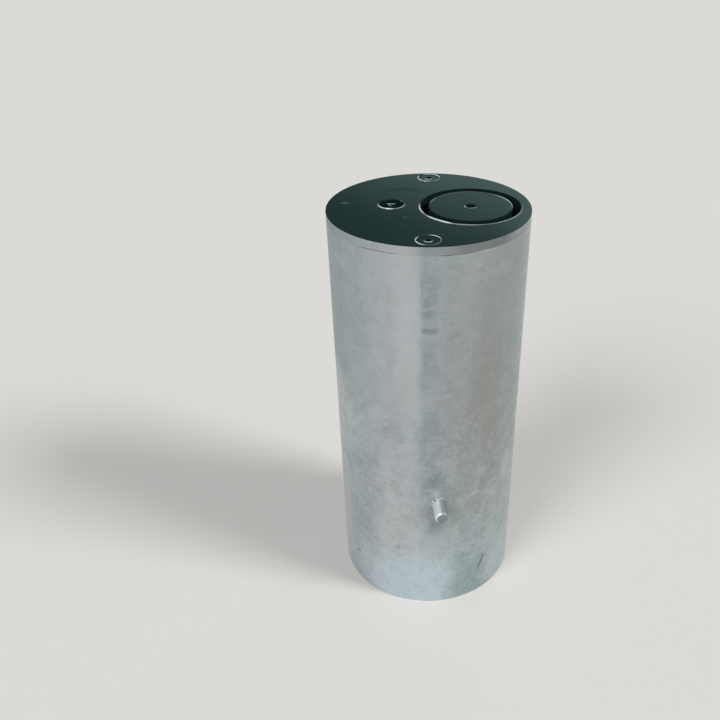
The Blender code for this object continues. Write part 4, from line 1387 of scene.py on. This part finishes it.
# Inner pieces that keep the solids' shape, by finish
INNER_PIECES = {
    "bollard_galvanised": ("base_plate", "fixing_lug_front", "fixing_lug_rear"),
    "bollard_guide_wall": ("guide_tube",),
    "bollard_rubber": ("wiper_seal", "rest_buffer", "spindle_seal"),
    "bollard_bearing_plastic": ("upper_bush", "lower_bush"),
    "bollard_machined_steel": (
        "stop_ring",
        "stop_collar",
        "guide_key",
        "bush_clip_upper",
        "bush_clip_lower",
        "housing_screw_front",
        "housing_screw_rear",
        "spindle_clip",
        "lock_tongue",
    ),
    "bollard_zinc_plate": ("lock_housing", "tongue_washer", "tongue_screw"),
}


class BOLLARD_OT_inner_pieces(BollardOperator):
    """Finishes the inner pieces, which keep the solids' shape"""

    bl_idname = "bollard.inner_pieces"
    bl_label = "Inner pieces"

    def execute(self, context):
        for finish, names in INNER_PIECES.items():
            for name in names:
                materials = NODES[name].data.materials
                materials.clear()
                materials.append(finish_named(finish))
        return {"FINISHED"}


# Stage

# Each lamp's direction, its spread in degrees and its tint
LAMPS = {
    "key": ((-0.64, -0.76, 0.80), 30.0, (1.0, 0.99, 0.97)),
    "fill": ((0.95, -0.31, 0.75), 18.0, (1.0, 0.98, 0.95)),
    "rim": ((0.35, 0.94, 0.36), 45.0, (0.95, 0.98, 1.0)),
}
SKY_TINT = (0.96, 0.98, 1.0, 1.0)


class BOLLARD_OT_stage(BollardOperator):
    """Makes the floor, the light and the camera"""

    bl_idname = "bollard.stage"
    bl_label = "Stage"

    def execute(self, context):
        stage = context.scene.bollard_stage
        self.floor(stage)
        self.sky(context.scene, stage)
        for name, (towards, spread, tint) in LAMPS.items():
            self.lamp(name + "_lamp", towards, spread, getattr(stage, name), tint)
        self.camera(context.scene, stage)
        context.scene.view_settings.view_transform = "Standard"
        return {"FINISHED"}

    def floor(self, stage):
        shape = bmesh.new()
        bmesh.ops.create_grid(shape, x_segments=1, y_segments=1, size=stage.floor_size / 2)
        mesh = bpy.data.meshes.new("floor")
        shape.to_mesh(mesh)
        shape.free()
        mesh.materials.append(finish_named("stage_floor"))
        floor = bpy.data.objects.new("floor", mesh)
        bpy.context.scene.collection.objects.link(floor)

    def sky(self, scene, stage):
        world = bpy.data.worlds.new("studio")
        world.use_nodes = True
        background = world.node_tree.nodes["Background"]
        background.inputs["Color"].default_value = SKY_TINT
        background.inputs["Strength"].default_value = stage.sky
        scene.world = world

    def lamp(self, name, towards, spread, strength, tint):
        """A distant soft lamp that stands towards a direction and spreads over some degrees."""
        light = bpy.data.lights.new(name, "SUN")
        light.energy = strength
        light.color = tint
        light.angle = math.radians(spread)
        lamp = bpy.data.objects.new(name, light)
        lamp.rotation_euler = Vector(towards).to_track_quat("Z", "Y").to_euler()
        bpy.context.scene.collection.objects.link(lamp)

    def camera(self, scene, stage):
        data = bpy.data.cameras.new("camera")
        data.lens = stage.lens
        data.sensor_width = stage.sensor
        data.shift_x = stage.shift_x
        data.shift_y = stage.shift_y
        data.clip_start = stage.nearest
        camera = bpy.data.objects.new("camera", data)
        camera.matrix_world = (
            Matrix.Translation(stage.camera_place)
            @ Matrix.Rotation(-stage.yaw, 4, "Z")
            @ Matrix.Rotation(QUARTER - stage.pitch, 4, "X")
            @ Matrix.Rotation(stage.roll, 4, "Z")
        )
        scene.collection.objects.link(camera)
        scene.camera = camera


OPERATORS = (
    BOLLARD_OT_stage,
    BOLLARD_OT_casing,
    BOLLARD_OT_cover,
    BOLLARD_OT_gasket,
    BOLLARD_OT_cover_screws,
    BOLLARD_OT_post_head,
    BOLLARD_OT_post_tube,
    BOLLARD_OT_anchor_studs,
    BOLLARD_OT_key_spindle,
    BOLLARD_OT_inner_pieces,
)


class VIEW3D_PT_bollard(bpy.types.Panel):
    """Lists the bollard's pieces, sizes and colours"""

    bl_idname = "VIEW3D_PT_bollard"
    bl_label = "Retractable bollard"
    bl_space_type = "VIEW_3D"
    bl_region_type = "UI"
    bl_category = "Bollard"

    def draw(self, context):
        for operator in OPERATORS:
            self.layout.operator(operator.bl_idname)
        for name in GROUPS:
            group = getattr(context.scene, name)
            for field in group.__annotations__:
                self.layout.prop(group, field)


GROUPS = {
    "bollard_sizes": BollardSizes,
    "bollard_colours": BollardColours,
    "bollard_stage": BollardStage,
}
CLASSES = (*GROUPS.values(), *OPERATORS, VIEW3D_PT_bollard)


def register():
    for item in CLASSES:
        bpy.utils.register_class(item)
    for name, group in GROUPS.items():
        setattr(bpy.types.Scene, name, bpy.props.PointerProperty(type=group))


def unregister():
    for name in GROUPS:
        delattr(bpy.types.Scene, name)
    for item in reversed(CLASSES):
        bpy.utils.unregister_class(item)


def main():
    register()
    bpy.ops.bollard.stage()
    bpy.ops.bollard.casing()
    bpy.ops.bollard.cover()
    bpy.ops.bollard.gasket()
    bpy.ops.bollard.cover_screws()
    bpy.ops.bollard.post_head()
    bpy.ops.bollard.post_tube()
    bpy.ops.bollard.anchor_studs()
    bpy.ops.bollard.key_spindle()
    bpy.ops.bollard.inner_pieces()


if __name__ == "__main__":
    main()
